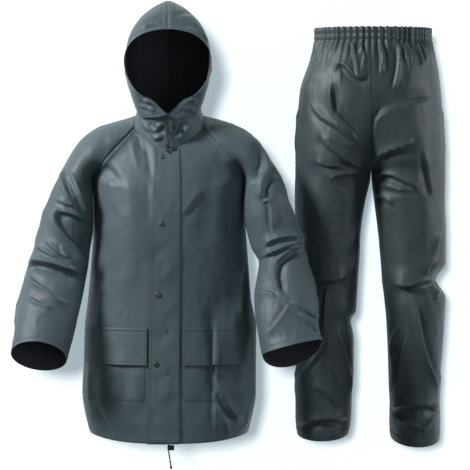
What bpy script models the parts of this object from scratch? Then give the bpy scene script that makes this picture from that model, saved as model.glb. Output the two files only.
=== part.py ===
"""Rain suit: a hooded raglan jacket beside its elasticated trousers, both filled out as if worn.

The tables hold millimetres. X runs to the viewer's right, Y away from the viewer and Z up.
The origin is the middle of the jacket's neck at the height of its shoulders.
Each garment is a set of open cloth panels, which meet at their seams with a hair's gap.
"""

import math
from collections import namedtuple

import bmesh
import bpy
import numpy as np
from mathutils import Vector

MM = 0.001
CLOTH = 1.5
SEAM_GAP = 0.3
RIM_RELIEF = 0.8
HOOD_RELIEF = 0.8
FOLD_FADE = 22.0

# Jacket

Ring = namedtuple("Ring", "outer_x outer_z seam_x seam_z middle_y half_depth opening front_up back_down")
Level = namedtuple("Level", "left_x right_x side_y side_z front_y front_z back_y back_z fullness")
Arch = namedtuple("Arch", "cheek_x cheek_y cheek_z brow_x brow_y brow_z top_y top_z")
Rim = namedtuple("Rim", "x y z")
Fold = namedtuple("Fold", "face x0 z0 x1 z1 width depth")

ARMPIT_LEVEL = 4

# A ring runs from its seam, over its outer edge, back to its seam. Above the armpit it stays open
# by the angle given, and its two ends are the front and back raglan seams.
LEFT_SLEEVE = [
    Ring(-83, 20, -85, 4, 5, 52, 95, -12, -12),
    Ring(-111, 12, -101, -17, 5, 64, 104, -10, -10),
    Ring(-166, -3, -134, -54, 4, 76, 118, -9, -9),
    Ring(-219, -38, -163, -92, 0, 80, 140, -8, -8),
    Ring(-256, -93, -189, -137, -6, 78, 180, -6, -6),
    Ring(-281, -148, -188, -190, -36, 75, 180, -4, -4),
    Ring(-301, -198, -186.5, -230, -45, 71, 180, -2, -2),
    Ring(-316, -243, -188, -270, -49, 67, 180, 0, 0),
    Ring(-331, -288, -194, -308, -55, 64, 180, 3, 3),
    Ring(-341, -330, -198, -345, -63, 62, 180, 6, 6),
    Ring(-351, -365, -204, -380, -74, 60, 180, 11, 11),
    Ring(-363, -411, -212, -427, -96, 58, 180, 19, 18),
    Ring(-372, -460, -222, -476, -120, 57, 180, 27, 24),
    Ring(-378, -508, -233, -527, -146, 56, 180, 34, 31),
    Ring(-384, -566, -247, -579, -172, 55, 180, 38, 36),
]
RIGHT_SLEEVE = [
    Ring(86, 20, 88, 4, 5, 52, 95, -12, -12),
    Ring(129, 12, 111, -20, 5, 64, 104, -10, -10),
    Ring(176, -4, 139, -50, 4, 76, 118, -9, -9),
    Ring(224, -40, 161, -84, 0, 80, 140, -8, -8),
    Ring(259, -95, 188, -135, -6, 78, 180, -6, -6),
    Ring(287, -143, 188.5, -187, -36, 75, 180, -4, -4),
    Ring(299, -190, 189, -226, -45, 71, 180, -2, -2),
    Ring(316, -231, 197, -268, -49, 67, 180, 0, 0),
    Ring(340, -281, 208, -308, -57, 64, 180, 4, 4),
    Ring(346, -330, 226, -345, -70, 62, 180, 6, 8),
    Ring(357, -367, 220, -385, -86, 60, 180, 9, 13),
    Ring(367, -409, 214, -427, -106, 58, 180, 10, 20),
    Ring(370, -450, 216, -471, -126, 57, 180, 10, 28),
    Ring(371, -487, 223, -513, -144, 56, 180, 9, 36),
    Ring(375, -511, 229, -546, -158, 55, 180, 8, 42),
    Ring(381, -532, 234, -568, -172, 54, 180, 8, 48),
]
# Above the armpit the sides of a level are the raglan seams, so its first three columns are not used there.
TORSO = [
    Level(-85, 88, -47, 4, -86, -64, 76, 14, 0.0),
    Level(-101, 111, -57, -20, -97, -88, 94, -14, 0.05),
    Level(-134, 139, -62, -54, -108, -114, 108, -46, 0.15),
    Level(-164, 161, -56, -90, -117, -141, 116, -82, 0.45),
    Level(-189, 188, -6, -136, -124, -171, 121, -128, 1.0),
    Level(-188, 189, -3, -195, -129, -216, 123, -190, 1.0),
    Level(-188, 193, 0, -270, -131, -278, 122, -268, 1.0),
    Level(-193, 199, 0, -350, -129, -353, 119, -350, 1.0),
    Level(-200, 205, 0, -430, -127, -433, 117, -430, 1.0),
    Level(-209, 219, 0, -510, -128, -514, 119, -511, 1.0),
    Level(-211, 218, 0, -590, -131, -596, 122, -591, 1.0),
    Level(-215, 218, 0, -665, -133, -674, 125, -667, 1.0),
    Level(-206, 209, 0, -726, -133, -740, 126, -730, 1.0),
    Level(-194, 197, 0, -768, -131, -790, 125, -775, 1.0),
]
NECKLINE_BOW = 1.6
HEM_BOW = 3.0
RAGLAN_ROWS = 9
BODY_ROWS = 15
SLEEVE_ROWS = 16
CHEST_HALF_WIDTH = 190
TORSO_INSIDE = {"front": (0, 200, -400), "back": (0, -200, -400)}
COLLAR_CLEARANCE = 0.35
CHEST_ROUNDNESS = 2.2
# Half of the neckline's top edge and of the hood's arches, from the front centre round to the nape.
# The right half mirrors the left.
COLLAR_TOP = [
    Rim(-1, -96, 14),
    Rim(-34, -92, 15),
    Rim(-62, -70, 24),
    Rim(-73, -34, 42),
    Rim(-75, 4, 54),
    Rim(-63, 42, 60),
    Rim(-35, 61, 62),
    Rim(0, 67, 62),
]
HOOD_BASE = [
    Rim(-1, -106, 31),
    Rim(-34, -101, 16),
    Rim(-65, -77, 17),
    Rim(-79.5, -36, 38),
    Rim(-81, 4, 46),
    Rim(-69.5, 45.5, 50),
    Rim(-38, 66, 52),
    Rim(0, 71.6, 53),
]
HOOD_ARCHES = [
    Arch(-130, -98, 94, -138, -122, 240, -126, 241),
    Arch(-112, -74, 94, -150, -92, 259, -86, 284),
    Arch(-98, -8, 84, -157, -24, 255, -22, 311),
    Arch(-90, 74, 98, -132, 84, 259, 60, 295),
    Arch(0, 112, 100, 0, 138, 214, 104, 262),
]

# Trousers, whose legs are rings of the same kind: open above the crotch, between the front and
# back centre seams, and closed at the inside leg below it.
LEFT_LEG = [
    Ring(367, 212, 508, 212, 75, 112, 90, 0, 0),
    Ring(354, 162, 508, 162, 75, 130, 92, 0, 0),
    Ring(330, 87, 508, 84, 75, 138, 98, 0, 0),
    Ring(323, 5, 508, -6, 77, 136, 112, 0, 0),
    Ring(319, -70, 508, -84, 79, 126, 140, 0, 0),
    Ring(319, -112, 507, -126, 80, 112, 180, 0, 0),
    Ring(317, -187, 493, -192, 78, 104, 180, 0, 0),
    Ring(320, -262, 482, -265, 76, 97, 180, 0, 0),
    Ring(324, -337, 478, -340, 74, 91, 180, 0, 0),
    Ring(324, -412, 473, -414, 72, 86, 180, 0, 0),
    Ring(324, -464, 470, -464, 71, 83, 180, 0, 0),
    Ring(324, -492, 457, -492, 72, 81, 180, 0, 0),
    Ring(322, -540, 464, -540, 74, 80, 180, 0, 0),
    Ring(319, -612, 464, -612, 78, 78, 180, -3, -2),
    Ring(319, -680, 460, -678, 82, 75, 180, -8, -6),
    Ring(319, -738, 458, -735, 84, 73, 180, -14, -10),
    Ring(323, -772, 453, -768, 84, 71, 180, -21, -12),
]
RIGHT_LEG = [
    Ring(661, 212, 508, 212, 75, 112, 90, 0, 0),
    Ring(674, 162, 508, 162, 75, 130, 92, 0, 0),
    Ring(684, 87, 508, 84, 75, 138, 98, 0, 0),
    Ring(690, 5, 508, -6, 77, 136, 112, 0, 0),
    Ring(694, -70, 508, -84, 79, 126, 140, 0, 0),
    Ring(695, -112, 511, -126, 80, 112, 180, 0, 0),
    Ring(694, -187, 518, -192, 78, 104, 180, 0, 0),
    Ring(697, -262, 527, -265, 76, 97, 180, 0, 0),
    Ring(697, -342, 534, -342, 74, 91, 180, 0, 0),
    Ring(671, -386, 537, -387, 72, 88, 180, 0, 0),
    Ring(696, -434, 543, -436, 71, 84, 180, 0, 0),
    Ring(692, -500, 549, -500, 72, 81, 180, 0, 0),
    Ring(688, -562, 552, -562, 74, 80, 180, 0, 0),
    Ring(683, -637, 554, -637, 78, 78, 180, -3, -2),
    Ring(682, -700, 557, -698, 82, 75, 180, -8, -6),
    Ring(683, -750, 556, -746, 84, 73, 180, -15, -10),
    Ring(681, -784, 558, -778, 84, 71, 180, -25, -12),
]
LEG_LEVELS = len(LEFT_LEG) - 1

# The largest folds, as lines in the front view: a trough has a negative depth.
FOLDS = {
    "sleeve_left": [
        Fold("front", -340, -352, -232, -372, 17, -9),
        Fold("front", -352, -385, -262, -430, 15, 6),
        Fold("front", -250, -150, -215, -285, 18, -8),
        Fold("front", -225, -140, -205, -250, 14, 6),
        Fold("back", -250, -140, -222, -290, 18, -7),
        Fold("back", -335, -350, -235, -385, 16, -7),
    ],
    "sleeve_right": [
        Fold("front", 215, -130, 228, -300, 17, -9),
        Fold("front", 248, -120, 262, -290, 15, 6),
        Fold("front", 235, -345, 330, -292, 16, -8),
        Fold("front", 240, -372, 345, -350, 15, -7),
        Fold("front", 232, -350, 345, -420, 16, 6),
        Fold("back", 215, -140, 230, -290, 18, -7),
        Fold("back", 240, -345, 335, -320, 16, -7),
    ],
    "torso": [
        Fold("front", 112, -440, 118, -700, 20, -7),
        Fold("front", 165, -440, 188, -740, 20, 7),
        Fold("front", -120, -90, -60, -330, 26, 5),
        Fold("front", 120, -100, 90, -300, 26, -5),
        Fold("back", -120, -160, -70, -420, 26, -7),
        Fold("back", 120, -160, 75, -430, 26, -7),
        Fold("back", -40, -480, -120, -700, 24, 6),
        Fold("back", 60, -470, 130, -700, 24, 6),
    ],
    "leg_left": [
        Fold("front", 358, 40, 470, -55, 19, -9),
        Fold("front", 335, 55, 415, -25, 16, 7),
        Fold("front", 425, -550, 458, -672, 16, 6),
        Fold("front", 330, -745, 445, -752, 12, -6),
        Fold("back", 350, 0, 470, -70, 20, -8),
        Fold("back", 345, -440, 450, -470, 16, -7),
        Fold("back", 330, -740, 445, -748, 12, -5),
    ],
    "leg_right": [
        Fold("front", 515, -88, 595, -52, 16, 8),
        Fold("front", 518, -125, 620, -155, 17, -9),
        Fold("front", 600, -435, 668, -640, 18, 7),
        Fold("front", 660, -385, 575, -360, 14, -7),
        Fold("front", 562, -705, 672, -742, 13, -6),
        Fold("back", 520, -70, 640, 0, 20, -8),
        Fold("back", 560, -450, 660, -400, 16, -7),
        Fold("back", 562, -735, 670, -745, 12, -5),
    ],
}

# Flap over the zip, its press studs and the pockets. Places are in the front view.
ZIP_HALF_WIDTH = 5.0
ZIP_LIFT = 2.0
ZIP_WALL = 1.2
# The flap's edges, as x at shares of the way down the front
FLAP_TOP_ROW = 0.3
FLAP_LEFT = [(0, -28), (0.3, -36), (0.62, -44), (1, -49)]
FLAP_RIGHT = [(0, 30), (0.3, 32), (0.62, 32), (1, 30)]
FLAP_LIFT = 4.3
STUD_PLACES = [(-14, -86), (-15, -247), (-23, -423), (-29, -593)]
STUD_RADIUS = 7.0
STUD_HEIGHT = 3.0
STUD_SEAT = 0.6
POCKET_TOP_Z = -520
POCKET_BOTTOM_Z = -682
POCKET_LIFT = 2.7
POCKET_SPANS = {"left": (-180, -58), "right": (40, 184)}
POCKET_FLAP_TOP_Z = -504
POCKET_FLAP_BOTTOM_Z = -594
POCKET_FLAP_LIFT = 4.6
POCKET_FLAP_KICK = 5.0
POCKET_FLAP_SPANS = {"left": (-200, -52), "right": (36, 207)}

# Cords and their locks
CORD_RADIUS = 1.75
LOCK_RADIUS = 5.2
LOCK_LENGTH = 12.0
LOCK_BORE = CORD_RADIUS + 0.6
HOOD_CORD_LEFT = [(-9, -98.6, 12), (-8, -97, 0), (-5, -95.5, -15), (-1, -95.5, -30), (1, -96.4, -46),
                  (1, -96.2, -60), (3, -96.6, -72)]
HOOD_CORD_RIGHT = [(11, -98.6, 12), (14, -98.6, 6), (16, -98.2, -1), (15, -97.4, -10), (12, -95.6, -20),
                   (9, -94.4, -31)]
HEM_CORD = [(1.5, -130.2, -790.9), (2.0, -130, -796), (2.4, -129.7, -806), (4, -129.2, -818), (6, -129, -831),
            (7.8, -129, -844)]
HEM_KNOB_RADIUS = 3.0
HEM_KNOB_LENGTH = 8.0
HEM_LOCK_SIZE = (17.0, 9.0, 13.0)
HEM_LOCK_AT = (8.0, -129.7, -800.0)

# The waist's elastic casing
CASING_TOP_Z = 245
CASING_BOTTOM_Z = 212.3
GATHERS = 56
GATHER_DEPTH = 3.4
GATHER_FADE = 55.0
POINTS_A_GATHER = 4

Colour = namedtuple("Colour", "red green blue roughness metallic")
COLOURS = {
    "cloth": Colour(0.075, 0.100, 0.105, 0.42, 0.0),
    "trousers": Colour(0.048, 0.062, 0.066, 0.42, 0.0),
    "cord": Colour(0.012, 0.014, 0.015, 0.7, 0.0),
    "stud": Colour(0.02, 0.024, 0.026, 0.3, 0.0),
    "zip": Colour(0.015, 0.018, 0.019, 0.5, 0.0),
}


def clear_scene():
    for obj in list(bpy.data.objects):
        bpy.data.objects.remove(obj, do_unlink=True)


def material_for(node, colour_name):
    """A Principled material of the piece's own."""
    colour = COLOURS[colour_name]
    material = bpy.data.materials.new(node)
    material.use_nodes = True
    shader = material.node_tree.nodes["Principled BSDF"]
    shader.inputs["Base Color"].default_value = (colour.red, colour.green, colour.blue, 1.0)
    shader.inputs["Roughness"].default_value = colour.roughness
    shader.inputs["Metallic"].default_value = colour.metallic
    return material


def add_piece(node, mesh, colour_name, collection):
    obj = bpy.data.objects.new(node, mesh)
    obj.data.materials.clear()
    obj.data.materials.append(material_for(node, colour_name))
    collection.objects.link(obj)
    return obj


# Curves through a table's rows


def smooth(rows, at):
    """A smooth curve through the rows of a table, which stays between neighbouring rows."""
    values = np.array(rows, float)
    at = np.clip(np.atleast_1d(np.asarray(at, float)), 0, len(values) - 1)
    steps = np.diff(values, axis=0)
    slopes = np.zeros_like(values)
    before, after = steps[:-1], steps[1:]
    same_way = before * after > 0
    middle = slopes[1:-1]
    middle[same_way] = 2 * before[same_way] * after[same_way] / (before + after)[same_way]
    slopes[0], slopes[-1] = steps[0], steps[-1]
    low = np.minimum(at.astype(int), len(values) - 2)
    t = (at - low)[:, None]
    start = values[low] * (1 + 2 * t) * (1 - t) ** 2 + slopes[low] * t * (1 - t) ** 2
    end = values[low + 1] * t * t * (3 - 2 * t) + slopes[low + 1] * t * t * (t - 1)
    return start + end


# Surfaces, each as a grid of points: rows by columns by x, y, z


def tube(table, levels, turns):
    """Points of a sleeve or leg. A turn of 1 is the front seam, 0 the outer edge and -1 the back seam."""
    rows = smooth(table, levels)
    outer_x, outer_z, seam_x, seam_z, middle_y, half_depth, opening, front_up, back_down = (
        column[:, None] for column in rows.T
    )
    widest = np.radians(opening)
    angle = np.asarray(turns, float)[None, :] * widest
    reach = 1 - np.cos(widest)
    out_x, out_z = (outer_x - seam_x) / reach, (outer_z - seam_z) / reach
    tilt = np.where(np.sin(angle) > 0, front_up, back_down) * np.sin(angle)
    x = outer_x - out_x * (1 - np.cos(angle))
    y = middle_y - half_depth * np.sin(angle)
    z = outer_z - out_z * (1 - np.cos(angle)) + tilt
    return np.stack([x, y + 0 * x, z], axis=-1)


def torso_sides(levels, face):
    """The left and right ends of the torso's rows: raglan seams above the armpit, side seams below."""
    rows = smooth(TORSO, levels)
    left, right = np.array(rows[:, [0, 2, 3]]), np.array(rows[:, [1, 2, 3]])
    above = np.asarray(levels) <= ARMPIT_LEVEL
    turn = [1.0] if face == "front" else [-1.0]
    if above.any():
        left[above] = tube(LEFT_SLEEVE, np.asarray(levels)[above], turn)[:, 0]
        right[above] = tube(RIGHT_SLEEVE, np.asarray(levels)[above], turn)[:, 0]
    return left, right, rows


def torso(levels, across, face):
    """Points of the torso. Across is -1 at the left seam and 1 at the right, one value a column or a grid."""
    left, right, rows = torso_sides(levels, face)
    across = np.asarray(across, float)
    across = across[None, :] if across.ndim == 1 else across
    middle_y, middle_z = (rows[:, 4:5], rows[:, 5:6]) if face == "front" else (rows[:, 6:7], rows[:, 7:8])
    fullness = rows[:, 8:9]
    share = (across + 1) / 2
    ends = left[:, None, :] * (1 - share[..., None]) + right[:, None, :] * share[..., None]
    size = np.abs(across)
    round_bow = np.clip(1 - size**CHEST_ROUNDNESS, 0, 1) ** (1 / CHEST_ROUNDNESS)
    bow = (1 - fullness) * (1 - size**2) + fullness * round_bow
    y = ends[..., 1] + (middle_y - ends[..., 1]) * bow
    share_down = np.asarray(levels, float)[:, None] / (len(TORSO) - 1)
    power = NECKLINE_BOW + (HEM_BOW - NECKLINE_BOW) * share_down
    z = ends[..., 2] + (middle_z - ends[..., 2]) * (1 - size**power)
    return np.stack([ends[..., 0], y, z], axis=-1)


def across_at(levels, x, face="front"):
    """The across value of a place given by its x."""
    left, right, _ = torso_sides(levels, face)
    return 2 * (np.asarray(x, float) - left[:, 0]) / (right[:, 0] - left[:, 0]) - 1


def between_seams(start, end, count):
    """Across values from one seam to another, closer together near the rounded sides."""
    angles = np.linspace(np.arcsin(np.clip(start, -1, 1)), np.arcsin(np.clip(end, -1, 1)), count)
    return np.sin(angles)


def neckline(side, count):
    """Half of the neck seam, from the front centre round to the nape."""
    sleeve = LEFT_SLEEVE if side < 0 else RIGHT_SLEEVE
    front_mid = across_at([0.0], 0.0)[0]
    back_mid = across_at([0.0], 0.0, "back")[0]
    front = torso([0.0], np.linspace(front_mid, side, 9), "front")[0]
    over = tube(sleeve, [0.0], np.linspace(1, -1, 9))[0]
    back = torso([0.0], np.linspace(side, back_mid, 9), "back")[0]
    line = np.concatenate([front, over[1:], back[1:]])
    return resample(line, np.linspace(0, 1, count))


def resample(line, shares):
    """Points at these shares of a line's length."""
    steps = np.linalg.norm(np.diff(line, axis=0), axis=1)
    length = np.concatenate([[0], np.cumsum(steps)])
    at = np.asarray(shares) * length[-1]
    return np.stack([np.interp(at, length, line[:, k]) for k in range(3)], axis=-1)


def collar_half(side, rows, columns):
    """The stand collar's half: from the neck seam up to its top edge, a little bowed outwards."""
    low = neckline(side, columns)
    top = smooth(COLLAR_TOP, np.linspace(0, len(COLLAR_TOP) - 1, 61))
    top[:, 0] *= -side
    top = resample(top, np.linspace(0, 1, columns))
    rise = np.linspace(0, 1, rows)[:, None, None]
    grid = low[None] * (1 - rise) + top[None] * rise
    return grid


def hood_half(side, rows, columns):
    """Half of the hood: rows run from its base over the crown to the centre seam."""
    back = np.linspace(0, 1, columns)
    base = smooth(HOOD_BASE, back * (len(HOOD_BASE) - 1))
    arch = smooth(HOOD_ARCHES, back * (len(HOOD_ARCHES) - 1))
    cheek, brow = arch[:, 0:3], arch[:, 3:6]
    top = np.stack([0 * back, arch[:, 6], arch[:, 7]], axis=-1)
    t = np.linspace(0, 1, rows)[:, None, None]
    grid = base * (1 - t) ** 3 + 3 * cheek * t * (1 - t) ** 2 + 3 * brow * t * t * (1 - t) + top * t**3
    grid[..., 0] *= -side
    return grid


# Cloth walls


def unit(vectors):
    return vectors / np.maximum(np.linalg.norm(vectors, axis=-1, keepdims=True), 1e-9)


def normals_of(grid, inside):
    """Unit normals of a grid, turned away from the point or points inside the garment."""
    normals = unit(np.cross(np.gradient(grid, axis=0), np.gradient(grid, axis=1)))
    facing = (normals * (grid - inside)).sum()
    return normals if facing > 0 else -normals


def trimmed(grid, gap):
    """The grid with its four edges drawn in by this much, along the cloth."""
    grid = np.array(grid)
    for axis in (0, 1):
        lines = np.moveaxis(grid, axis, 0)
        lines[0] += unit(lines[1] - lines[0]) * gap
        lines[-1] += unit(lines[-2] - lines[-1]) * gap
    return grid


def distance_to_edges(grid):
    """How far each point lies from the panel's nearest edge, along its row and its column."""
    nearest = np.full(grid.shape[:2], np.inf)
    for axis in (0, 1):
        steps = np.linalg.norm(np.diff(grid, axis=axis), axis=-1)
        zero = np.zeros_like(np.take(steps, [0], axis=axis))
        run = np.concatenate([zero, np.cumsum(steps, axis=axis)], axis=axis)
        whole = np.take(run, [-1], axis=axis)
        nearest = np.minimum(nearest, np.minimum(run, whole - run))
    return nearest


def fold_lift(grid, normals, folds):
    """How far the folds lift each point of a panel off its plain form."""
    lift = np.zeros(grid.shape[:2])
    for fold in folds:
        start = np.array([fold.x0, fold.z0], float)
        run = np.array([fold.x1, fold.z1], float) - start
        place = grid[..., [0, 2]] - start
        along = (place @ run) / (run @ run)
        away = np.linalg.norm(place - np.clip(along, 0, 1)[..., None] * run, axis=-1)
        facing = np.clip(normals[..., 1] * (-1 if fold.face == "front" else 1), 0, 1)
        taper = np.clip(np.sin(np.pi * np.clip(along * 0.9 + 0.05, 0, 1)) * 1.6, 0, 1)
        lift += fold.depth * np.exp(-((away / fold.width) ** 2)) * facing * taper
    return lift


def folded(grid, inside, folds):
    """A panel with its folds, which die out at the seams."""
    normals = normals_of(grid, inside)
    fade = np.clip(distance_to_edges(grid) / FOLD_FADE, 0, 1)
    return grid + normals * (fold_lift(grid, normals, folds) * fade)[..., None]


def bridge(first, second):
    """Faces between two rows of vertex numbers, which may differ in count."""
    faces = []
    i, j = 0, 0
    while i < len(first) - 1 or j < len(second) - 1:
        if len(first) == len(second):
            faces.append((first[i], first[i + 1], second[j + 1], second[j]))
            i, j = i + 1, j + 1
            continue
        next_first = (i + 1) / (len(first) - 1) if i < len(first) - 1 else 2.0
        next_second = (j + 1) / (len(second) - 1) if j < len(second) - 1 else 2.0
        if next_first <= next_second:
            faces.append((first[i], first[i + 1], second[j]))
            i += 1
        else:
            faces.append((first[i], second[j + 1], second[j]))
            j += 1
    return faces


def wall_mesh(name, outer, inner, closed=False):
    """A cloth wall between an outer and an inner skin, each a list of rows of points."""
    points = []
    numbers = []
    for skin in (outer, inner):
        rows = []
        for row in skin:
            start = len(points)
            points.extend(tuple(float(value) * MM for value in point) for point in row)
            rows.append(list(range(start, len(points))) + ([start] if closed else []))
        numbers.append(rows)
    outside, inside = numbers
    faces = []
    for rows in (outside, inside):
        for upper, lower in zip(rows, rows[1:]):
            faces += bridge(upper, lower)
    faces += bridge(outside[0], inside[0])
    faces += bridge(outside[-1], inside[-1])
    if not closed:
        for end in (0, -1):
            faces += bridge([row[end] for row in outside], [row[end] for row in inside])
    mesh = bpy.data.meshes.new(name)
    mesh.from_pydata(points, [], faces)
    work = bmesh.new()
    work.from_mesh(mesh)
    bmesh.ops.recalc_face_normals(work, faces=work.faces)
    work.to_mesh(mesh)
    work.free()
    mesh.shade_smooth()
    mesh.set_sharp_from_angle(angle=math.radians(50))
    return mesh


def panel_mesh(name, grid, inside, relief=RIM_RELIEF, wall=CLOTH):
    """A panel's wall: its outer skin is the grid, and its seams stand a hair off their neighbours."""
    normals = normals_of(grid, inside)
    outer = trimmed(grid, SEAM_GAP / 2)
    inner = trimmed(grid, SEAM_GAP / 2 + relief) - normals * wall
    return wall_mesh(name, list(outer), list(inner))


# The jacket's pieces


def cut_levels(last, rows_below):
    """Levels from the neck to the hem or cuff. Above the armpit, torso and sleeve share them at the raglan seam."""
    above = np.linspace(0, ARMPIT_LEVEL, RAGLAN_ROWS)
    return np.concatenate([above, np.linspace(ARMPIT_LEVEL, last, rows_below)[1:]])


def torso_cloth(levels, across, face):
    """The torso with its folds, which die out at the side, raglan and neck seams."""
    grid = torso(levels, across, face)
    inside = TORSO_INSIDE[face]
    normals = normals_of(grid, inside)
    across = np.broadcast_to(np.asarray(across, float), grid.shape[:2])
    fade = np.clip((1 - np.abs(across)) * CHEST_HALF_WIDTH / FOLD_FADE, 0, 1)
    fade = fade * np.clip(np.asarray(levels, float) / 0.6, 0, 1)[:, None]
    return grid + normals * (fold_lift(grid, normals, FOLDS["torso"]) * fade)[..., None]


def front_halves():
    """The two fronts' grids, each from its side seam to the centre."""
    levels = cut_levels(len(TORSO) - 1, BODY_ROWS)
    middle = across_at(levels, 0.0)
    halves = {}
    for side, node in ((-1, "front_left"), (1, "front_right")):
        columns = np.array([between_seams(side, centre, 10) for centre in middle])
        halves[node] = torso_cloth(levels, columns, "front")
    return halves


def whole_front():
    """Both fronts as one grid, from the left side seam to the right."""
    halves = front_halves()
    return np.concatenate([halves["front_left"], halves["front_right"][:, -2::-1]], axis=1)


def make_fronts(collection):
    for node, grid in front_halves().items():
        add_piece(node, panel_mesh(node, grid, TORSO_INSIDE["front"]), "cloth", collection)


def make_back(collection):
    levels = cut_levels(len(TORSO) - 1, BODY_ROWS)
    grid = torso_cloth(levels, between_seams(-1, 1, 17), "back")
    add_piece("back", panel_mesh("back", grid, TORSO_INSIDE["back"]), "cloth", collection)


def tube_middle(table, levels):
    """The line down the middle of a sleeve or leg, as one point for each row."""
    rows = smooth(table, levels)
    return np.stack([(rows[:, 0] + rows[:, 2]) / 2, rows[:, 4], (rows[:, 1] + rows[:, 3]) / 2], axis=-1)[:, None]


def make_sleeves(collection):
    for node, table in (("sleeve_left", LEFT_SLEEVE), ("sleeve_right", RIGHT_SLEEVE)):
        levels = cut_levels(len(table) - 1, SLEEVE_ROWS)
        inside = tube_middle(table, levels)
        grid = tube(table, levels, np.linspace(1, -1, 17))
        grid = folded(grid, inside, FOLDS[node])
        add_piece(node, panel_mesh(node, grid, inside), "cloth", collection)


def make_collar(collection):
    left, right = collar_half(-1, 4, 13), collar_half(1, 4, 13)
    grid = np.concatenate([left, right[:, -2::-1]], axis=1) + np.array([0, 0, COLLAR_CLEARANCE])
    add_piece("collar", panel_mesh("collar", grid, (0, 0, 0)), "cloth", collection)


def make_hood(collection):
    for side, node in ((-1, "hood_left"), (1, "hood_right")):
        grid = hood_half(side, 12, 12)
        normals = normals_of(grid, (0, 0, 150))
        normals[-1, -1] = normals[-2, -2]
        outer = trimmed(grid, SEAM_GAP / 2)
        inner = trimmed(grid, SEAM_GAP / 2 + HOOD_RELIEF) - normals * CLOTH
        for skin in (outer, inner):
            skin[..., 0] = side * np.maximum(side * skin[..., 0], SEAM_GAP / 2)
        add_piece(node, wall_mesh(node, list(outer), list(inner)), "cloth", collection)


def on_front(grid, rows, columns, lift):
    """Points of a grid read between its own, at row and column places, and moved out from it."""
    normals = normals_of(grid, TORSO_INSIDE["front"])
    rows = np.broadcast_to(np.asarray(rows, float)[:, None], columns.shape)
    row = np.minimum(rows.astype(int), grid.shape[0] - 2)
    column = np.minimum(columns.astype(int), grid.shape[1] - 2)
    down, along = (rows - row)[..., None], (columns - column)[..., None]

    def read(values):
        upper = values[row, column] * (1 - along) + values[row, column + 1] * along
        lower = values[row + 1, column] * (1 - along) + values[row + 1, column + 1] * along
        return upper * (1 - down) + lower * down

    lift = np.asarray(lift, float)
    return read(grid) + unit(read(normals)) * lift[..., None]


def column_at(grid, row, x):
    """The column place at which a row of the grid, which may lie between two rows, passes this x."""
    low = min(int(row), len(grid) - 2)
    line = grid[low, :, 0] * (1 - (row - low)) + grid[low + 1, :, 0] * (row - low)
    return np.interp(x, line, np.arange(len(line)))


def row_at(grid, z, x):
    """The row place at which the grid passes this height, near this x."""
    column = int(round(column_at(grid, len(grid) / 2, x)))
    return np.interp(-z, -grid[:, column, 2], np.arange(len(grid)))


def places_between(start, end):
    """The grid's own whole places between two others, and the two ends."""
    whole = np.arange(math.ceil(start + 0.2), math.floor(end - 0.2) + 1)
    return np.concatenate([[start], whole, [end]])


def strip_on_front(grid, rows, left, right, count, lift):
    """A strip down the front: its edges' x for each row, and how many points lie across it."""
    columns = np.array([
        np.linspace(column_at(grid, row, from_x), column_at(grid, row, to_x), count)
        for row, from_x, to_x in zip(rows, left, right)
    ])
    return on_front(grid, rows, columns, np.full(columns.shape, lift))


def make_zip_and_flap(collection):
    front = whole_front()
    last = len(front) - 1
    inside = TORSO_INSIDE["front"]
    rows = places_between(0.1, last - 0.5)
    half = np.full(len(rows), ZIP_HALF_WIDTH)
    grid = strip_on_front(front, rows, -half, half, 3, ZIP_LIFT)
    add_piece("zip", panel_mesh("zip", grid, inside, relief=0.2, wall=ZIP_WALL), "zip", collection)
    rows = places_between(FLAP_TOP_ROW, last)
    share = rows / last
    left = np.interp(share, *zip(*FLAP_LEFT))
    right = np.interp(share, *zip(*FLAP_RIGHT))
    grid = strip_on_front(front, rows, left, right, 5, FLAP_LIFT)
    add_piece("storm_flap", panel_mesh("storm_flap", grid, inside), "cloth", collection)


def patch_on_front(grid, top_z, bottom_z, from_x, to_x, lift, kick=0.0):
    """A patch made from the front's own points, between two heights and two columns."""
    middle = (from_x + to_x) / 2
    rows = places_between(row_at(grid, top_z, middle), row_at(grid, bottom_z, middle))
    columns = places_between(column_at(grid, rows[1], from_x), column_at(grid, rows[1], to_x))
    columns = np.tile(columns, (len(rows), 1))
    down = np.linspace(0, 1, len(rows))[:, None]
    return on_front(grid, rows, columns, lift + kick * down**2 + 0 * columns)


def make_pockets(collection):
    front = whole_front()
    inside = TORSO_INSIDE["front"]
    for side in ("left", "right"):
        from_x, to_x = POCKET_SPANS[side]
        grid = patch_on_front(front, POCKET_TOP_Z, POCKET_BOTTOM_Z, from_x, to_x, POCKET_LIFT)
        node = "pocket_" + side
        add_piece(node, panel_mesh(node, grid, inside), "cloth", collection)
        from_x, to_x = POCKET_FLAP_SPANS[side]
        grid = patch_on_front(front, POCKET_FLAP_TOP_Z, POCKET_FLAP_BOTTOM_Z, from_x, to_x, POCKET_FLAP_LIFT,
                              POCKET_FLAP_KICK)
        node = "pocket_flap_" + side
        add_piece(node, panel_mesh(node, grid, inside), "cloth", collection)


def turned_mesh(name, profile, steps):
    """A solid turned round Z from its profile of (radius, height) points, listed top to bottom."""
    mesh = bpy.data.meshes.new(name + "_profile")
    points = [(radius * MM, 0, height * MM) for radius, height in profile]
    mesh.from_pydata(points, [(k, k + 1) for k in range(len(points) - 1)], [])
    work = bmesh.new()
    work.from_mesh(mesh)
    bmesh.ops.spin(work, geom=work.verts[:] + work.edges[:], cent=(0, 0, 0), axis=(0, 0, 1),
                   angle=2 * math.pi, steps=steps, use_merge=True)
    bmesh.ops.remove_doubles(work, verts=work.verts, dist=1e-6)
    bmesh.ops.recalc_face_normals(work, faces=work.faces)
    work.to_mesh(mesh)
    work.free()
    mesh.shade_smooth()
    mesh.set_sharp_from_angle(angle=math.radians(40))
    return mesh


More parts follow.
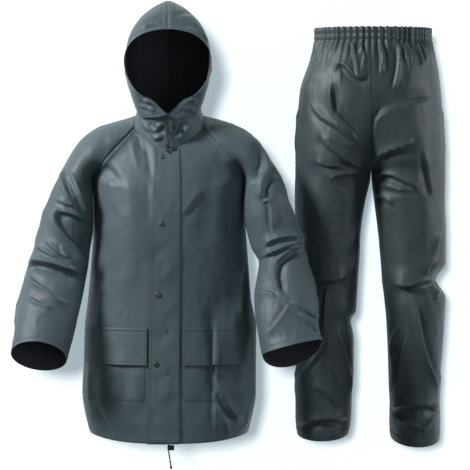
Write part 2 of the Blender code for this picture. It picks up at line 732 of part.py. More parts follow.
def turn_to(obj, direction, at):
    """Places a turned piece: its Z along the direction, its middle at a point in millimetres."""
    obj.rotation_mode = "QUATERNION"
    obj.rotation_quaternion = direction.to_track_quat("Z", "Y")
    obj.location = tuple(value * MM for value in at)


def make_studs(collection):
    profile = [(0, STUD_HEIGHT), (STUD_RADIUS * 0.6, STUD_HEIGHT * 0.85),
               (STUD_RADIUS * 0.93, STUD_HEIGHT * 0.4), (STUD_RADIUS, 0), (0, 0)]
    front = whole_front()
    for number, (x, z) in enumerate(STUD_PLACES, 1):
        row = row_at(front, z, x)
        column = np.array([[column_at(front, row, x)]])
        seat = on_front(front, [row], column, [[FLAP_LIFT + STUD_SEAT]])[0, 0]
        normal = seat - on_front(front, [row], column, [[0.0]])[0, 0]
        node = f"stud_{number}"
        obj = add_piece(node, turned_mesh(node, profile, 12), "stud", collection)
        turn_to(obj, Vector(normal), seat)


def cord_mesh(node, route, radius, collection):
    """A cord as a round tube along a smooth line through its route."""
    share = np.linspace(0, len(route) - 1, 4 * (len(route) - 1) + 1)
    points = smooth(route, share)
    curve = bpy.data.curves.new(node, "CURVE")
    curve.dimensions = "3D"
    curve.bevel_depth = radius * MM
    curve.bevel_resolution = 2
    curve.use_fill_caps = True
    spline = curve.splines.new("POLY")
    spline.points.add(len(points) - 1)
    for spot, point in zip(spline.points, points):
        spot.co = (*(float(value) * MM for value in point), 1.0)
    return add_piece(node, curve, "cord", collection)


def barrel_lock(node, at, direction, collection):
    """A barrel cord lock, turned round the bore that its cord runs through."""
    half = LOCK_LENGTH / 2
    profile = [(LOCK_BORE, half), (LOCK_RADIUS * 0.75, half), (LOCK_RADIUS, half * 0.55),
               (LOCK_RADIUS, -half * 0.55), (LOCK_RADIUS * 0.75, -half), (LOCK_BORE, -half),
               (LOCK_BORE, half)]
    obj = add_piece(node, turned_mesh(node, profile, 12), "stud", collection)
    turn_to(obj, direction, at)


def block_lock(node, size, at, collection, bore_x=None):
    """A flat cord lock: a rounded block, with a bore down through it where its cord passes."""
    mesh = bpy.data.meshes.new(node)
    work = bmesh.new()
    bmesh.ops.create_cube(work, size=1.0)
    for vert in work.verts:
        vert.co = Vector((vert.co.x * size[0] * MM, vert.co.y * size[1] * MM, vert.co.z * size[2] * MM))
    bmesh.ops.bevel(work, geom=work.edges[:], offset=2.2 * MM, segments=2, affect="EDGES", profile=0.5)
    work.to_mesh(mesh)
    work.free()
    obj = add_piece(node, mesh, "stud", collection)
    obj.location = tuple(value * MM for value in at)
    if bore_x is None:
        return obj
    bore = bpy.data.meshes.new(node + "_bore")
    work = bmesh.new()
    bmesh.ops.create_cone(work, cap_ends=True, segments=12, radius1=LOCK_BORE * 1.25 * MM,
                          radius2=LOCK_BORE * 1.25 * MM, depth=size[2] * 2 * MM)
    work.to_mesh(bore)
    work.free()
    cutter = bpy.data.objects.new(node + "_bore", bore)
    cutter.location = (bore_x * MM, at[1] * MM, at[2] * MM)
    cutter.hide_render = True
    cutter.display_type = "WIRE"
    bpy.data.collections["cutters"].objects.link(cutter)
    cut = obj.modifiers.new("bore", "BOOLEAN")
    cut.operation = "DIFFERENCE"
    cut.object = cutter
    return obj


def make_cords(collection):
    cord_mesh("hood_cord_left", HOOD_CORD_LEFT, CORD_RADIUS, collection)
    cord_mesh("hood_cord_right", HOOD_CORD_RIGHT, CORD_RADIUS, collection)
    cord_mesh("hem_cord", HEM_CORD, CORD_RADIUS, collection)
    left, right = np.array(HOOD_CORD_LEFT, float), np.array(HOOD_CORD_RIGHT, float)
    barrel_lock("hood_lock_left", (left[4] + left[5]) / 2, Vector(left[4] - left[5]), collection)
    barrel_lock("hood_lock_right", (right[2] + right[3]) / 2, Vector(right[2] - right[3]), collection)
    block_lock("hem_lock", HEM_LOCK_SIZE, HEM_LOCK_AT, collection, bore_x=2.2)
    end = np.array(HEM_CORD[-1], float)
    profile = [(0, HEM_KNOB_LENGTH / 2), (HEM_KNOB_RADIUS * 0.8, HEM_KNOB_LENGTH / 2),
               (HEM_KNOB_RADIUS, 0), (HEM_KNOB_RADIUS * 0.7, -HEM_KNOB_LENGTH / 2), (0, -HEM_KNOB_LENGTH / 2)]
    down = end - np.array(HEM_CORD[-2], float)
    knob = add_piece("hem_knob", turned_mesh("hem_knob", profile, 10), "stud", collection)
    turn_to(knob, Vector(-down), end + unit(down) * (HEM_KNOB_LENGTH / 2 + SEAM_GAP))


# The trousers' pieces


def make_legs(collection):
    per_panel = GATHERS // 4
    fine = per_panel * POINTS_A_GATHER + 1
    for name, table in (("leg_left", LEFT_LEG), ("leg_right", RIGHT_LEG)):
        for face, end in (("front", 1.0), ("back", -1.0)):
            levels = np.concatenate([[0, 0.22, 0.5], np.linspace(1, LEG_LEVELS, 20)])
            inside = tube_middle(table, levels)
            grid = folded(tube(table, levels, np.linspace(0, end, 10)), inside, FOLDS[name])
            normals = normals_of(grid, inside)
            node = f"{name}_{face}"
            inner = trimmed(grid, SEAM_GAP / 2 + RIM_RELIEF) - normals * CLOTH
            outer = list(trimmed(grid, SEAM_GAP / 2))
            turns = np.linspace(0, 1, fine)
            top = tube(table, levels[:3], turns * end)
            top_normals = normals_of(tube(table, levels[:4], turns * end), inside[:4])[:3]
            fade = np.clip(1 - (table[0].outer_z - top[:, :1, 2]) / GATHER_FADE, 0, 1)
            wave = np.sin(turns * per_panel * 2 * math.pi)[None] * GATHER_DEPTH / 2 * fade
            ends_in = np.minimum(1, np.minimum(np.arange(fine), np.arange(fine)[::-1]) / 2)
            top = top + top_normals * (np.maximum(wave, -CLOTH * 0.5) * ends_in)[..., None]
            top = trimmed(np.concatenate([top, tube(table, levels[3:4], turns * end)]), SEAM_GAP / 2)[:3]
            outer[:3] = list(top)
            add_piece(node, wall_mesh(node, outer, list(inner)), "trousers", collection)


def make_casing(collection):
    """The elastic's casing: one closed ring, gathered all round, over a plain inside."""
    left, right = LEFT_LEG[0], RIGHT_LEG[0]
    middle_x, middle_y = (left.outer_x + right.outer_x) / 2, left.middle_y
    half_width, half_depth = (right.outer_x - left.outer_x) / 2, left.half_depth

    def ring(z, count, waves, shrink):
        angle = np.linspace(0, 2 * math.pi, count, endpoint=False)
        wave = waves * np.cos(angle * GATHERS)
        x = middle_x + (half_width - shrink + wave) * np.cos(angle)
        y = middle_y + (half_depth - shrink + wave) * np.sin(angle)
        return np.stack([x, y, z + 0 * angle], axis=-1)

    around = GATHERS * POINTS_A_GATHER
    middle_z = (CASING_TOP_Z + CASING_BOTTOM_Z) / 2
    heights = [CASING_TOP_Z, middle_z, CASING_BOTTOM_Z]
    swell = [2.0, 0.0, 2.0]
    outer = [ring(z, around, GATHER_DEPTH / 2, inset) for z, inset in zip(heights, swell)]
    inner = [ring(z, 60, 0, 6.0) for z in heights]
    mesh = wall_mesh("waist_casing", outer, inner, closed=True)
    add_piece("waist_casing", mesh, "trousers", collection)


def build():
    clear_scene()
    suit = bpy.data.collections.new("rain_suit")
    cutters = bpy.data.collections.new("cutters")
    bpy.context.scene.collection.children.link(suit)
    bpy.context.scene.collection.children.link(cutters)
    make_fronts(suit)
    make_back(suit)
    make_sleeves(suit)
    make_collar(suit)
    make_hood(suit)
    make_zip_and_flap(suit)
    make_pockets(suit)
    make_studs(suit)
    make_cords(suit)
    make_legs(suit)
    make_casing(suit)


build()
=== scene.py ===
# %% [markdown]
# Rain suit: the dressed model.
# The CAD frame gives each piece's place and size. This script lays a finer cloth shell on the form of
# every panel, with the folds of the photograph placed one by one, and then adds seams, stitches, cords,
# studs, materials, lights and the camera.
# All tables hold millimetres. X runs to the viewer's right, Y away from the viewer and Z up.

# %% Imports and the imported frame
import math
from collections import namedtuple

import bmesh
import bpy
import numpy as np
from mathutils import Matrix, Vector


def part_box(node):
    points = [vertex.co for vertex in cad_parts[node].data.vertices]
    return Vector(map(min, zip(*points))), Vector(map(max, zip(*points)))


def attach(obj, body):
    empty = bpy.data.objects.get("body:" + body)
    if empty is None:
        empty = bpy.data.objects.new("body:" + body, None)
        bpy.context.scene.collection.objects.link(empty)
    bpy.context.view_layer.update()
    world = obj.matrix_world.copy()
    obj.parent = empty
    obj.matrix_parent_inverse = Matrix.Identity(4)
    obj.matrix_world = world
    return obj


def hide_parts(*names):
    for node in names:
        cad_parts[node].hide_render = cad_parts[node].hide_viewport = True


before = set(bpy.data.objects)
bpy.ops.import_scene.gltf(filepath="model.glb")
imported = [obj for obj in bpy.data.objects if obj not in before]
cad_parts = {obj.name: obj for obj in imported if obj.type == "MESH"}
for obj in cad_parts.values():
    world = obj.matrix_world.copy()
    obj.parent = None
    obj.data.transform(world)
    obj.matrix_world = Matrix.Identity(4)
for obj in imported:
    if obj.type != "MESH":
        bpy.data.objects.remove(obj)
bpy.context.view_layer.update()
MM = 0.001


def add_object(name, data):
    """A new object at the origin, linked to the scene."""
    obj = bpy.data.objects.new(name, data)
    bpy.context.scene.collection.objects.link(obj)
    return obj


print("frame nodes:", len(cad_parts))

# %% [markdown]
# The camera looks straight at the suit from ten metres, so that its picture is nearly a flat elevation.
# Its width at the jacket's middle plane is 1.175 m.

# %% Camera
CAMERA_DISTANCE = 10.0
VIEW_WIDTH = 1.175
VIEW_MIDDLE = (0.16625, -0.275)
SENSOR = 36.0

camera_data = bpy.data.cameras.new("camera")
camera_data.sensor_width = SENSOR
camera_data.lens = SENSOR * CAMERA_DISTANCE / VIEW_WIDTH
camera_data.clip_end = 50
camera = add_object("camera", camera_data)
camera.location = (VIEW_MIDDLE[0], -CAMERA_DISTANCE, VIEW_MIDDLE[1])
camera.rotation_euler = (math.radians(90), 0, 0)
bpy.context.scene.camera = camera
print("lens", round(camera_data.lens, 1))

# %% [markdown]
# The forms repeat the tables of the CAD source, with a higher collar and a lower peak of the hood. A ring
# runs from its seam, over its outer edge, back to its seam. A level is one cross-section of the trunk.

# %% Sizes of the jacket and the trousers
Ring = namedtuple("Ring", "outer_x outer_z seam_x seam_z middle_y half_depth opening front_up back_down")
Level = namedtuple("Level", "left_x right_x side_y side_z front_y front_z back_y back_z fullness")
Arch = namedtuple("Arch", "cheek_x cheek_y cheek_z brow_x brow_y brow_z top_y top_z")
Rim = namedtuple("Rim", "x y z")
Fold = namedtuple("Fold", "face x0 z0 x1 z1 width depth")

ARMPIT_LEVEL = 4

# Above the armpit a ring stays open by the angle given, and its two ends are the front and back
# raglan seams.
LEFT_SLEEVE = [
    Ring(-83, 20, -85, 4, 5, 52, 95, -12, -12),
    Ring(-111, 12, -101, -17, 5, 64, 104, -10, -10),
    Ring(-166, -3, -134, -54, 4, 76, 118, -9, -9),
    Ring(-219, -38, -163, -92, 0, 80, 140, -8, -8),
    Ring(-256, -93, -189, -137, -6, 78, 180, -6, -6),
    Ring(-281, -148, -188, -190, -36, 75, 180, -4, -4),
    Ring(-301, -198, -186.5, -230, -45, 71, 180, -2, -2),
    Ring(-316, -243, -188, -270, -49, 67, 180, 0, 0),
    Ring(-331, -288, -194, -308, -55, 64, 180, 3, 3),
    Ring(-341, -330, -198, -345, -63, 62, 180, 6, 6),
    Ring(-351, -365, -204, -380, -74, 60, 180, 11, 11),
    Ring(-363, -411, -212, -427, -96, 58, 180, 19, 18),
    Ring(-372, -460, -222, -476, -120, 57, 180, 27, 24),
    Ring(-378, -508, -233, -527, -146, 56, 180, 34, 31),
    Ring(-384, -566, -247, -579, -172, 55, 180, 38, 36),
]
RIGHT_SLEEVE = [
    Ring(86, 20, 88, 4, 5, 52, 95, -12, -12),
    Ring(129, 12, 111, -20, 5, 64, 104, -10, -10),
    Ring(176, -4, 139, -50, 4, 76, 118, -9, -9),
    Ring(224, -40, 161, -84, 0, 80, 140, -8, -8),
    Ring(259, -95, 188, -135, -6, 78, 180, -6, -6),
    Ring(287, -143, 188.5, -187, -36, 75, 180, -4, -4),
    Ring(299, -190, 189, -226, -45, 71, 180, -2, -2),
    Ring(316, -231, 197, -268, -49, 67, 180, 0, 0),
    Ring(340, -281, 208, -308, -57, 64, 180, 4, 4),
    Ring(346, -330, 226, -345, -70, 62, 180, 6, 8),
    Ring(357, -367, 220, -385, -86, 60, 180, 9, 13),
    Ring(367, -409, 214, -427, -106, 58, 180, 10, 20),
    Ring(370, -450, 216, -471, -126, 57, 180, 10, 28),
    Ring(371, -487, 223, -513, -144, 56, 180, 9, 36),
    Ring(375, -511, 229, -546, -158, 55, 180, 8, 42),
    Ring(381, -532, 234, -568, -172, 54, 180, 8, 48),
]
# Above the armpit the sides of a level are the raglan seams, so its first three columns are not
# used there.
TORSO = [
    Level(-85, 88, -47, 4, -86, -64, 76, 14, 0.0),
    Level(-101, 111, -57, -20, -97, -88, 94, -14, 0.05),
    Level(-134, 139, -62, -54, -108, -114, 108, -46, 0.15),
    Level(-164, 161, -56, -90, -117, -141, 116, -82, 0.45),
    Level(-189, 188, -6, -136, -124, -171, 121, -128, 1.0),
    Level(-188, 189, -3, -195, -129, -216, 123, -190, 1.0),
    Level(-188, 193, 0, -270, -131, -278, 122, -268, 1.0),
    Level(-193, 199, 0, -350, -129, -353, 119, -350, 1.0),
    Level(-200, 205, 0, -430, -127, -433, 117, -430, 1.0),
    Level(-209, 219, 0, -510, -128, -514, 119, -511, 1.0),
    Level(-211, 218, 0, -590, -131, -596, 122, -591, 1.0),
    Level(-215, 218, 0, -665, -133, -674, 125, -667, 1.0),
    Level(-206, 209, 0, -726, -133, -740, 126, -730, 1.0),
    Level(-194, 197, 0, -768, -131, -790, 125, -775, 1.0),
]
NECKLINE_STEPS = 9
NECKLINE_BOW = 1.6
HEM_BOW = 3.0
CHEST_ROUNDNESS = 2.2
# Half of the neckline's top edge and of the hood's arches, from the front centre round to the nape.
# The right half mirrors the left.
COLLAR_TOP = [
    Rim(-1, -96.5, 24),
    Rim(-34, -93, 21),
    Rim(-62, -70, 24),
    Rim(-73, -34, 42),
    Rim(-75, 4, 54),
    Rim(-63, 42, 60),
    Rim(-35, 61, 62),
    Rim(0, 67, 62),
]
COLLAR_TOP_STEPS = 61
HOOD_BASE = [
    Rim(-1, -106, 22),
    Rim(-34, -101, 16),
    Rim(-65, -77, 17),
    Rim(-79.5, -36, 38),
    Rim(-81, 4, 46),
    Rim(-69.5, 45.5, 50),
    Rim(-38, 66, 52),
    Rim(0, 71.6, 53),
]
HOOD_ARCHES = [
    Arch(-138, -98, 92, -146, -122, 231, -126, 233),
    Arch(-112, -74, 94, -150, -92, 259, -86, 284),
    Arch(-98, -8, 84, -157, -24, 255, -22, 311),
    Arch(-90, 74, 98, -132, 84, 259, 60, 295),
    Arch(0, 112, 100, 0, 138, 214, 104, 262),
]

# Trousers, whose legs are rings of the same kind: open above the crotch, between the front and
# back centre seams, and closed at the inside leg below it.
LEFT_LEG = [
    Ring(367, 212, 508, 212, 75, 112, 90, 0, 0),
    Ring(354, 162, 508, 162, 75, 130, 92, 0, 0),
    Ring(330, 87, 508, 84, 75, 138, 98, 0, 0),
    Ring(323, 5, 508, -6, 77, 136, 112, 0, 0),
    Ring(319, -70, 508, -84, 79, 126, 140, 0, 0),
    Ring(319, -112, 507, -126, 80, 112, 180, 0, 0),
    Ring(317, -187, 493, -192, 78, 104, 180, 0, 0),
    Ring(320, -262, 482, -265, 76, 97, 180, 0, 0),
    Ring(324, -337, 478, -340, 74, 91, 180, 0, 0),
    Ring(324, -412, 473, -414, 72, 86, 180, 0, 0),
    Ring(324, -464, 470, -464, 71, 83, 180, 0, 0),
    Ring(324, -492, 457, -492, 72, 81, 180, 0, 0),
    Ring(322, -540, 464, -540, 74, 80, 180, 0, 0),
    Ring(319, -612, 464, -612, 78, 78, 180, -3, -2),
    Ring(319, -680, 460, -678, 82, 75, 180, -8, -6),
    Ring(319, -738, 458, -735, 84, 73, 180, -14, -10),
    Ring(323, -772, 453, -768, 84, 71, 180, -21, -12),
]
RIGHT_LEG = [
    Ring(661, 212, 508, 212, 75, 112, 90, 0, 0),
    Ring(674, 162, 508, 162, 75, 130, 92, 0, 0),
    Ring(684, 87, 508, 84, 75, 138, 98, 0, 0),
    Ring(690, 5, 508, -6, 77, 136, 112, 0, 0),
    Ring(694, -70, 508, -84, 79, 126, 140, 0, 0),
    Ring(695, -112, 511, -126, 80, 112, 180, 0, 0),
    Ring(694, -187, 518, -192, 78, 104, 180, 0, 0),
    Ring(697, -262, 527, -265, 76, 97, 180, 0, 0),
    Ring(697, -342, 534, -342, 74, 91, 180, 0, 0),
    Ring(671, -386, 537, -387, 72, 88, 180, 0, 0),
    Ring(696, -434, 543, -436, 71, 84, 180, 0, 0),
    Ring(692, -500, 549, -500, 72, 81, 180, 0, 0),
    Ring(688, -562, 552, -562, 74, 80, 180, 0, 0),
    Ring(683, -637, 554, -637, 78, 78, 180, -3, -2),
    Ring(682, -700, 557, -698, 82, 75, 180, -8, -6),
    Ring(683, -750, 556, -746, 84, 73, 180, -15, -10),
    Ring(681, -784, 558, -778, 84, 71, 180, -25, -12),
]

FOLDS = {
    "sleeve_left": [
        Fold("back", -250, -140, -222, -290, 18, -7),
        Fold("back", -335, -350, -235, -385, 16, -7),
    ],
    "sleeve_right": [
        Fold("back", 215, -140, 230, -290, 18, -7),
        Fold("back", 240, -345, 335, -320, 16, -7),
    ],
    "torso": [
        Fold("front", 112, -440, 118, -700, 20, -7),
        Fold("front", 165, -440, 188, -740, 20, 7),
        Fold("front", -120, -90, -60, -330, 26, 5),
        Fold("front", 120, -100, 90, -300, 26, -5),
        Fold("back", -120, -160, -70, -420, 26, -7),
        Fold("back", 120, -160, 75, -430, 26, -7),
        Fold("back", -40, -480, -120, -700, 24, 6),
        Fold("back", 60, -470, 130, -700, 24, 6),
    ],
    "leg_left": [
        Fold("back", 350, 0, 470, -70, 20, -8),
        Fold("back", 345, -440, 450, -470, 16, -7),
        Fold("back", 330, -740, 445, -748, 12, -5),
    ],
    "leg_right": [
        Fold("back", 520, -70, 640, 0, 20, -8),
        Fold("back", 560, -450, 660, -400, 16, -7),
        Fold("back", 562, -735, 670, -745, 12, -5),
    ],
}

HOOD_CORD_LEFT = [
    (-9, -98.6, 12), (-8, -97, 0), (-5, -95.5, -15), (-1, -95.5, -30), (1, -96.4, -46), (1, -96.2, -60),
    (3, -96.6, -72),
]
HOOD_CORD_RIGHT = [
    (11, -98.6, 12), (14, -98.6, 6), (16, -98.2, -1), (15, -97.4, -10), (12, -95.6, -20), (9, -94.4, -31),
]
HEM_CORD = [
    (1.5, -130.2, -790.9), (2.0, -130, -796), (2.4, -129.7, -806), (4, -129.2, -818), (6, -129, -831),
    (7.8, -129, -844),
]

# %% [markdown]
# A smooth curve runs through a table's rows and stays between neighbouring rows, so that no ring bulges.

# %% Forms: grids of points, rows by columns by x, y, z
# The hood's face edge stands higher than the plain arch beside the chin. Its place and width are shares
# of the way over the crown, and its reach a share of the way back.
RIM_RISE = 13.0
RIM_REACH = 0.3
RIM_AT = 0.1
RIM_WIDTH = 0.075


def bell(distance, width, at=0.0):
    """A bell-shaped rise of height 1 across a distance."""
    return np.exp(-(((distance - at) / width) ** 2))


def lines_lift(away, lines):
    """Raised or sunk lines beside an edge, each by its height, its width and its distance from the edge."""
    return sum(height * bell(away, width, at) for height, width, at in lines)


def smooth(rows, at):
    values = np.array(rows, float)
    at = np.clip(np.atleast_1d(np.asarray(at, float)), 0, len(values) - 1)
    steps = np.diff(values, axis=0)
    slopes = np.zeros_like(values)
    before, after = steps[:-1], steps[1:]
    same_way = before * after > 0
    slopes[1:-1][same_way] = 2 * before[same_way] * after[same_way] / (before + after)[same_way]
    slopes[0], slopes[-1] = steps[0], steps[-1]
    low = np.minimum(at.astype(int), len(values) - 2)
    t = (at - low)[:, None]
    start = values[low] * (1 + 2 * t) * (1 - t) ** 2 + slopes[low] * t * (1 - t) ** 2
    end = values[low + 1] * t * t * (3 - 2 * t) + slopes[low + 1] * t * t * (t - 1)
    return start + end


def tube(table, levels, turns):
    """A sleeve or leg. A turn of 1 is the front seam, 0 the outer edge and -1 the back seam."""
    rows = smooth(table, levels)
    outer_x, outer_z, seam_x, seam_z, middle_y, half_depth, opening, front_up, back_down = (
        column[:, None] for column in rows.T
    )
    widest = np.radians(opening)
    angle = np.asarray(turns, float)[None, :] * widest
    reach = 1 - np.cos(widest)
    bend = (1 - np.cos(angle)) / reach
    tilt = np.where(np.sin(angle) > 0, front_up, back_down) * np.sin(angle)
    x = outer_x + (seam_x - outer_x) * bend
    y = middle_y - half_depth * np.sin(angle)
    z = outer_z + (seam_z - outer_z) * bend + tilt
    return np.stack([x, y + 0 * x, z], axis=-1)


def torso_sides(levels, face):
    """The ends of the trunk's rows: raglan seams above the armpit, side seams below."""
    rows = smooth(TORSO, levels)
    left, right = np.array(rows[:, [0, 2, 3]]), np.array(rows[:, [1, 2, 3]])
    above = np.asarray(levels) <= ARMPIT_LEVEL
    turn = [1.0] if face == "front" else [-1.0]
    left[above] = tube(LEFT_SLEEVE, np.asarray(levels)[above], turn)[:, 0]
    right[above] = tube(RIGHT_SLEEVE, np.asarray(levels)[above], turn)[:, 0]
    return left, right, rows


def torso(levels, across, face):
    """The trunk. Across is -1 at the left seam and 1 at the right."""
    left, right, rows = torso_sides(levels, face)
    across = np.asarray(across, float)
    across = across[None, :] if across.ndim == 1 else across
    first = 4 if face == "front" else 6
    middle_y, middle_z = rows[:, first : first + 1], rows[:, first + 1 : first + 2]
    fullness = rows[:, 8:9]
    share = (across + 1) / 2
    ends = left[:, None, :] * (1 - share[..., None]) + right[:, None, :] * share[..., None]
    size = np.abs(across)
    round_bow = np.clip(1 - size**CHEST_ROUNDNESS, 0, 1) ** (1 / CHEST_ROUNDNESS)
    bow = (1 - fullness) * (1 - size**2) + fullness * round_bow
    y = ends[..., 1] + (middle_y - ends[..., 1]) * bow
    share_down = np.asarray(levels, float)[:, None] / (len(TORSO) - 1)
    power = NECKLINE_BOW + (HEM_BOW - NECKLINE_BOW) * share_down
    z = ends[..., 2] + (middle_z - ends[..., 2]) * (1 - size**power)
    return np.stack([ends[..., 0], y, z], axis=-1)


def across_at(levels, x, face="front"):
    left, right, _ = torso_sides(levels, face)
    return 2 * (np.asarray(x, float) - left[:, 0]) / (right[:, 0] - left[:, 0]) - 1


def between_seams(start, end, count):
    """Across values, closer together near the rounded sides."""
    return np.sin(np.linspace(np.arcsin(start), np.arcsin(end), count))


def resample(line, shares):
    """Points at these shares of a line's length."""
    steps = np.linalg.norm(np.diff(line, axis=0), axis=1)
    length = np.concatenate([[0], np.cumsum(steps)])
    at = np.asarray(shares) * length[-1]
    return np.stack([np.interp(at, length, line[:, k]) for k in range(3)], axis=-1)


def neckline(side, count):
    """Half of the neck seam, from the front centre round to the nape."""
    sleeve = LEFT_SLEEVE if side < 0 else RIGHT_SLEEVE
    front_centre, back_centre = across_at([0.0], 0.0)[0], across_at([0.0], 0.0, "back")[0]
    front = torso([0.0], np.linspace(front_centre, side, NECKLINE_STEPS), "front")[0]
    over = tube(sleeve, [0.0], np.linspace(1, -1, NECKLINE_STEPS))[0]
    back = torso([0.0], np.linspace(side, back_centre, NECKLINE_STEPS), "back")[0]
    return resample(np.concatenate([front, over[1:], back[1:]]), np.linspace(0, 1, count))


def collar_half(side, rows, columns):
    low = neckline(side, columns)
    top = smooth(COLLAR_TOP, np.linspace(0, len(COLLAR_TOP) - 1, COLLAR_TOP_STEPS))
    top[:, 0] *= -side
    top = resample(top, np.linspace(0, 1, columns))
    rise = np.linspace(0, 1, rows)[:, None, None]
    return low[None] * (1 - rise) + top[None] * rise


def hood_half(side, rows, columns):
    """Half of the hood, from its base over the crown to the centre seam."""
    back = np.linspace(0, 1, columns)
    base = smooth(HOOD_BASE, back * (len(HOOD_BASE) - 1))
    arch = smooth(HOOD_ARCHES, back * (len(HOOD_ARCHES) - 1))
    cheek, brow = arch[:, 0:3], arch[:, 3:6]
    top = np.stack([0 * back, arch[:, 6], arch[:, 7]], axis=-1)
    t = np.linspace(0, 1, rows)[:, None, None]
    grid = base * (1 - t) ** 3 + 3 * cheek * t * (1 - t) ** 2 + 3 * brow * t * t * (1 - t) + top * t**3
    grid[..., 0] *= -side
    front = np.clip(1 - back / RIM_REACH, 0, 1)[None, :] ** 2
    grid[..., 2] += RIM_RISE * bell(t[..., 0], RIM_WIDTH, RIM_AT) * front
    return grid


def cut_levels(last, rows_above, rows_below):
    above = np.linspace(0, ARMPIT_LEVEL, rows_above)
    return np.concatenate([above, np.linspace(ARMPIT_LEVEL, last, rows_below)[1:]])


print("sleeve rings", len(LEFT_SLEEVE), "trunk levels", len(TORSO), "leg rings", len(LEFT_LEG))

# %% [markdown]
# Cloth is shaped in four steps on each form: the folds that the CAD source also has, large folds that lap
# over a hollow with a crisp edge, finer soft creases, and a faint unevenness that keeps broad areas from
# looking moulded. Folds and creases are placed one by one from the photograph.

# %% Cloth: normals, folds, creases and seams
FRONT_INSIDE = (0, 200, -400)
BACK_INSIDE = (0, -200, -400)
FOLD_FADE = 22.0
FOLD_SPAN = 0.9
FOLD_START = 0.05
FOLD_PLATEAU = 1.6
FACING_GAIN = 1.6
# A crease's profile: a rounded point, and a shallow trough beside it in shares of its width and height
CREASE_STEPS = 10
CREASE_TAPER = 0.3
CREASE_SHARPNESS = 1.2
CREASE_ROUNDING = 0.1
CREASE_TOP = 0.316
TROUGH_AT = 1.8
TROUGH_WIDTH = 1.2
TROUGH_SHARE = 0.42
FACE_AXES = {"front": (0, 2, 1, -1), "back": (0, 2, 1, 1), "left": (1, 2, 0, -1), "right": (1, 2, 0, 1)}
Crease = namedtuple("Crease", "face x0 z0 x1 z1 x2 z2 width height")
# A drape's edge is this wide, and wider by a share of its drop. A small lip sharpens it.
Drape = namedtuple("Drape", "path rise rise_width drop drop_width face", defaults=["front"])
DRAPE_STEPS = 6
DRAPE_TAPER = 0.24
DRAPE_POWER = 1.2
DRAPE_EDGE = 3.6
EDGE_PER_DROP = 0.25
DRAPE_LIP = 1.6
LIP_WIDTH = 3.2
LIP_RISE = 6
DRAPE_DEPTH = 1.4
MOST_LIFT = 20.0


def unit(vectors):
    return vectors / np.maximum(np.linalg.norm(vectors, axis=-1, keepdims=True), 1e-9)


def normals_of(grid, inside):
    """Unit normals, turned away from the point or points inside the garment."""
    normals = unit(np.cross(np.gradient(grid, axis=0), np.gradient(grid, axis=1)))
    return normals if (normals * (grid - inside)).sum() > 0 else -normals


def ease(value):
    value = np.clip(value, 0, 1)
    return value * value * (3 - 2 * value)


def runs_along(grid, axis):
    """How far each point lies from its line's start and from its end."""
    steps = np.linalg.norm(np.diff(grid, axis=axis), axis=-1)
    zero = np.zeros_like(np.take(steps, [0], axis=axis))
    run = np.concatenate([zero, np.cumsum(steps, axis=axis)], axis=axis)
    return run, np.take(run, [-1], axis=axis) - run


def distance_to_edges(grid):
    return np.minimum(np.minimum(*runs_along(grid, 0)), np.minimum(*runs_along(grid, 1)))


def fold_lift(grid, normals, folds):
    """The CAD source's own folds."""
    lift = np.zeros(grid.shape[:2])
    for fold in folds:
        start = np.array([fold.x0, fold.z0], float)
        run = np.array([fold.x1, fold.z1], float) - start
        place = grid[..., [0, 2]] - start
        along = (place @ run) / (run @ run)
        away = np.linalg.norm(place - np.clip(along, 0, 1)[..., None] * run, axis=-1)
        turned_to = np.clip(normals[..., 1] * (-1 if fold.face == "front" else 1), 0, 1)
        share = np.clip(along * FOLD_SPAN + FOLD_START, 0, 1)
        taper = np.clip(np.sin(np.pi * share) * FOLD_PLATEAU, 0, 1)
        lift += fold.depth * bell(away, fold.width) * turned_to * taper
    return lift


def beside(place, path):
    """For points in a view plane: distance from a path, the share of the way along it, and 1 on its left."""
    nearest = np.full(place.shape[:2], np.inf)
    side, along = np.zeros(place.shape[:2]), np.zeros(place.shape[:2])
    for step, (a, b) in enumerate(zip(path, path[1:])):
        run = b - a
        share = np.clip((place - a) @ run / (run @ run), 0, 1)
        offset = place - a - share[..., None] * run
        away = np.linalg.norm(offset, axis=-1)
        closer = away < nearest
        nearest = np.where(closer, away, nearest)
        side = np.where(closer, np.sign(run[0] * offset[..., 1] - run[1] * offset[..., 0]), side)
        along = np.where(closer, (step + share) / (len(path) - 1), along)
    return nearest, along, side


def facing(normals, face):
    """1 where the cloth faces a view, and less as it turns away."""
    _, _, axis, sign = FACE_AXES[face]
    return ease(normals[..., axis] * sign * FACING_GAIN)


def crease_lift(grid, normals, creases):
    """Soft ridges or troughs along bent lines, each with a shallow opposite one on its left."""
    lift = np.zeros(grid.shape[:2])
    for crease in creases:
        ends = np.array([(crease.x0, crease.z0), (crease.x1, crease.z1), (crease.x2, crease.z2)], float)
        path = smooth(ends, np.linspace(0, 2, CREASE_STEPS + 1))
        away, along, side = beside(grid[..., FACE_AXES[crease.face][:2]], path)
        taper = ease(along / CREASE_TAPER) * ease((1 - along) / CREASE_TAPER)
        across = away * side / crease.width
        main = np.exp(-CREASE_SHARPNESS * (np.sqrt(across**2 + CREASE_ROUNDING) - CREASE_TOP))
        profile = main - TROUGH_SHARE * bell(across, TROUGH_WIDTH, TROUGH_AT)
        lift += crease.height * profile * facing(normals, crease.face) * taper
    return lift


def also_on_back(drapes, shift=-32, share=0.7):
    """Every second fold again on the back, weaker and a little lower, its hollow on the other side."""
    weaker = []
    for drape in drapes[::2]:
        path = [(x, z + shift) for x, z in drape.path[::-1]]
        rise, drop = share * drape.rise, share * drape.drop
        weaker.append(Drape(path, rise, drape.rise_width, drop, drape.drop_width, "back"))
    return drapes + weaker


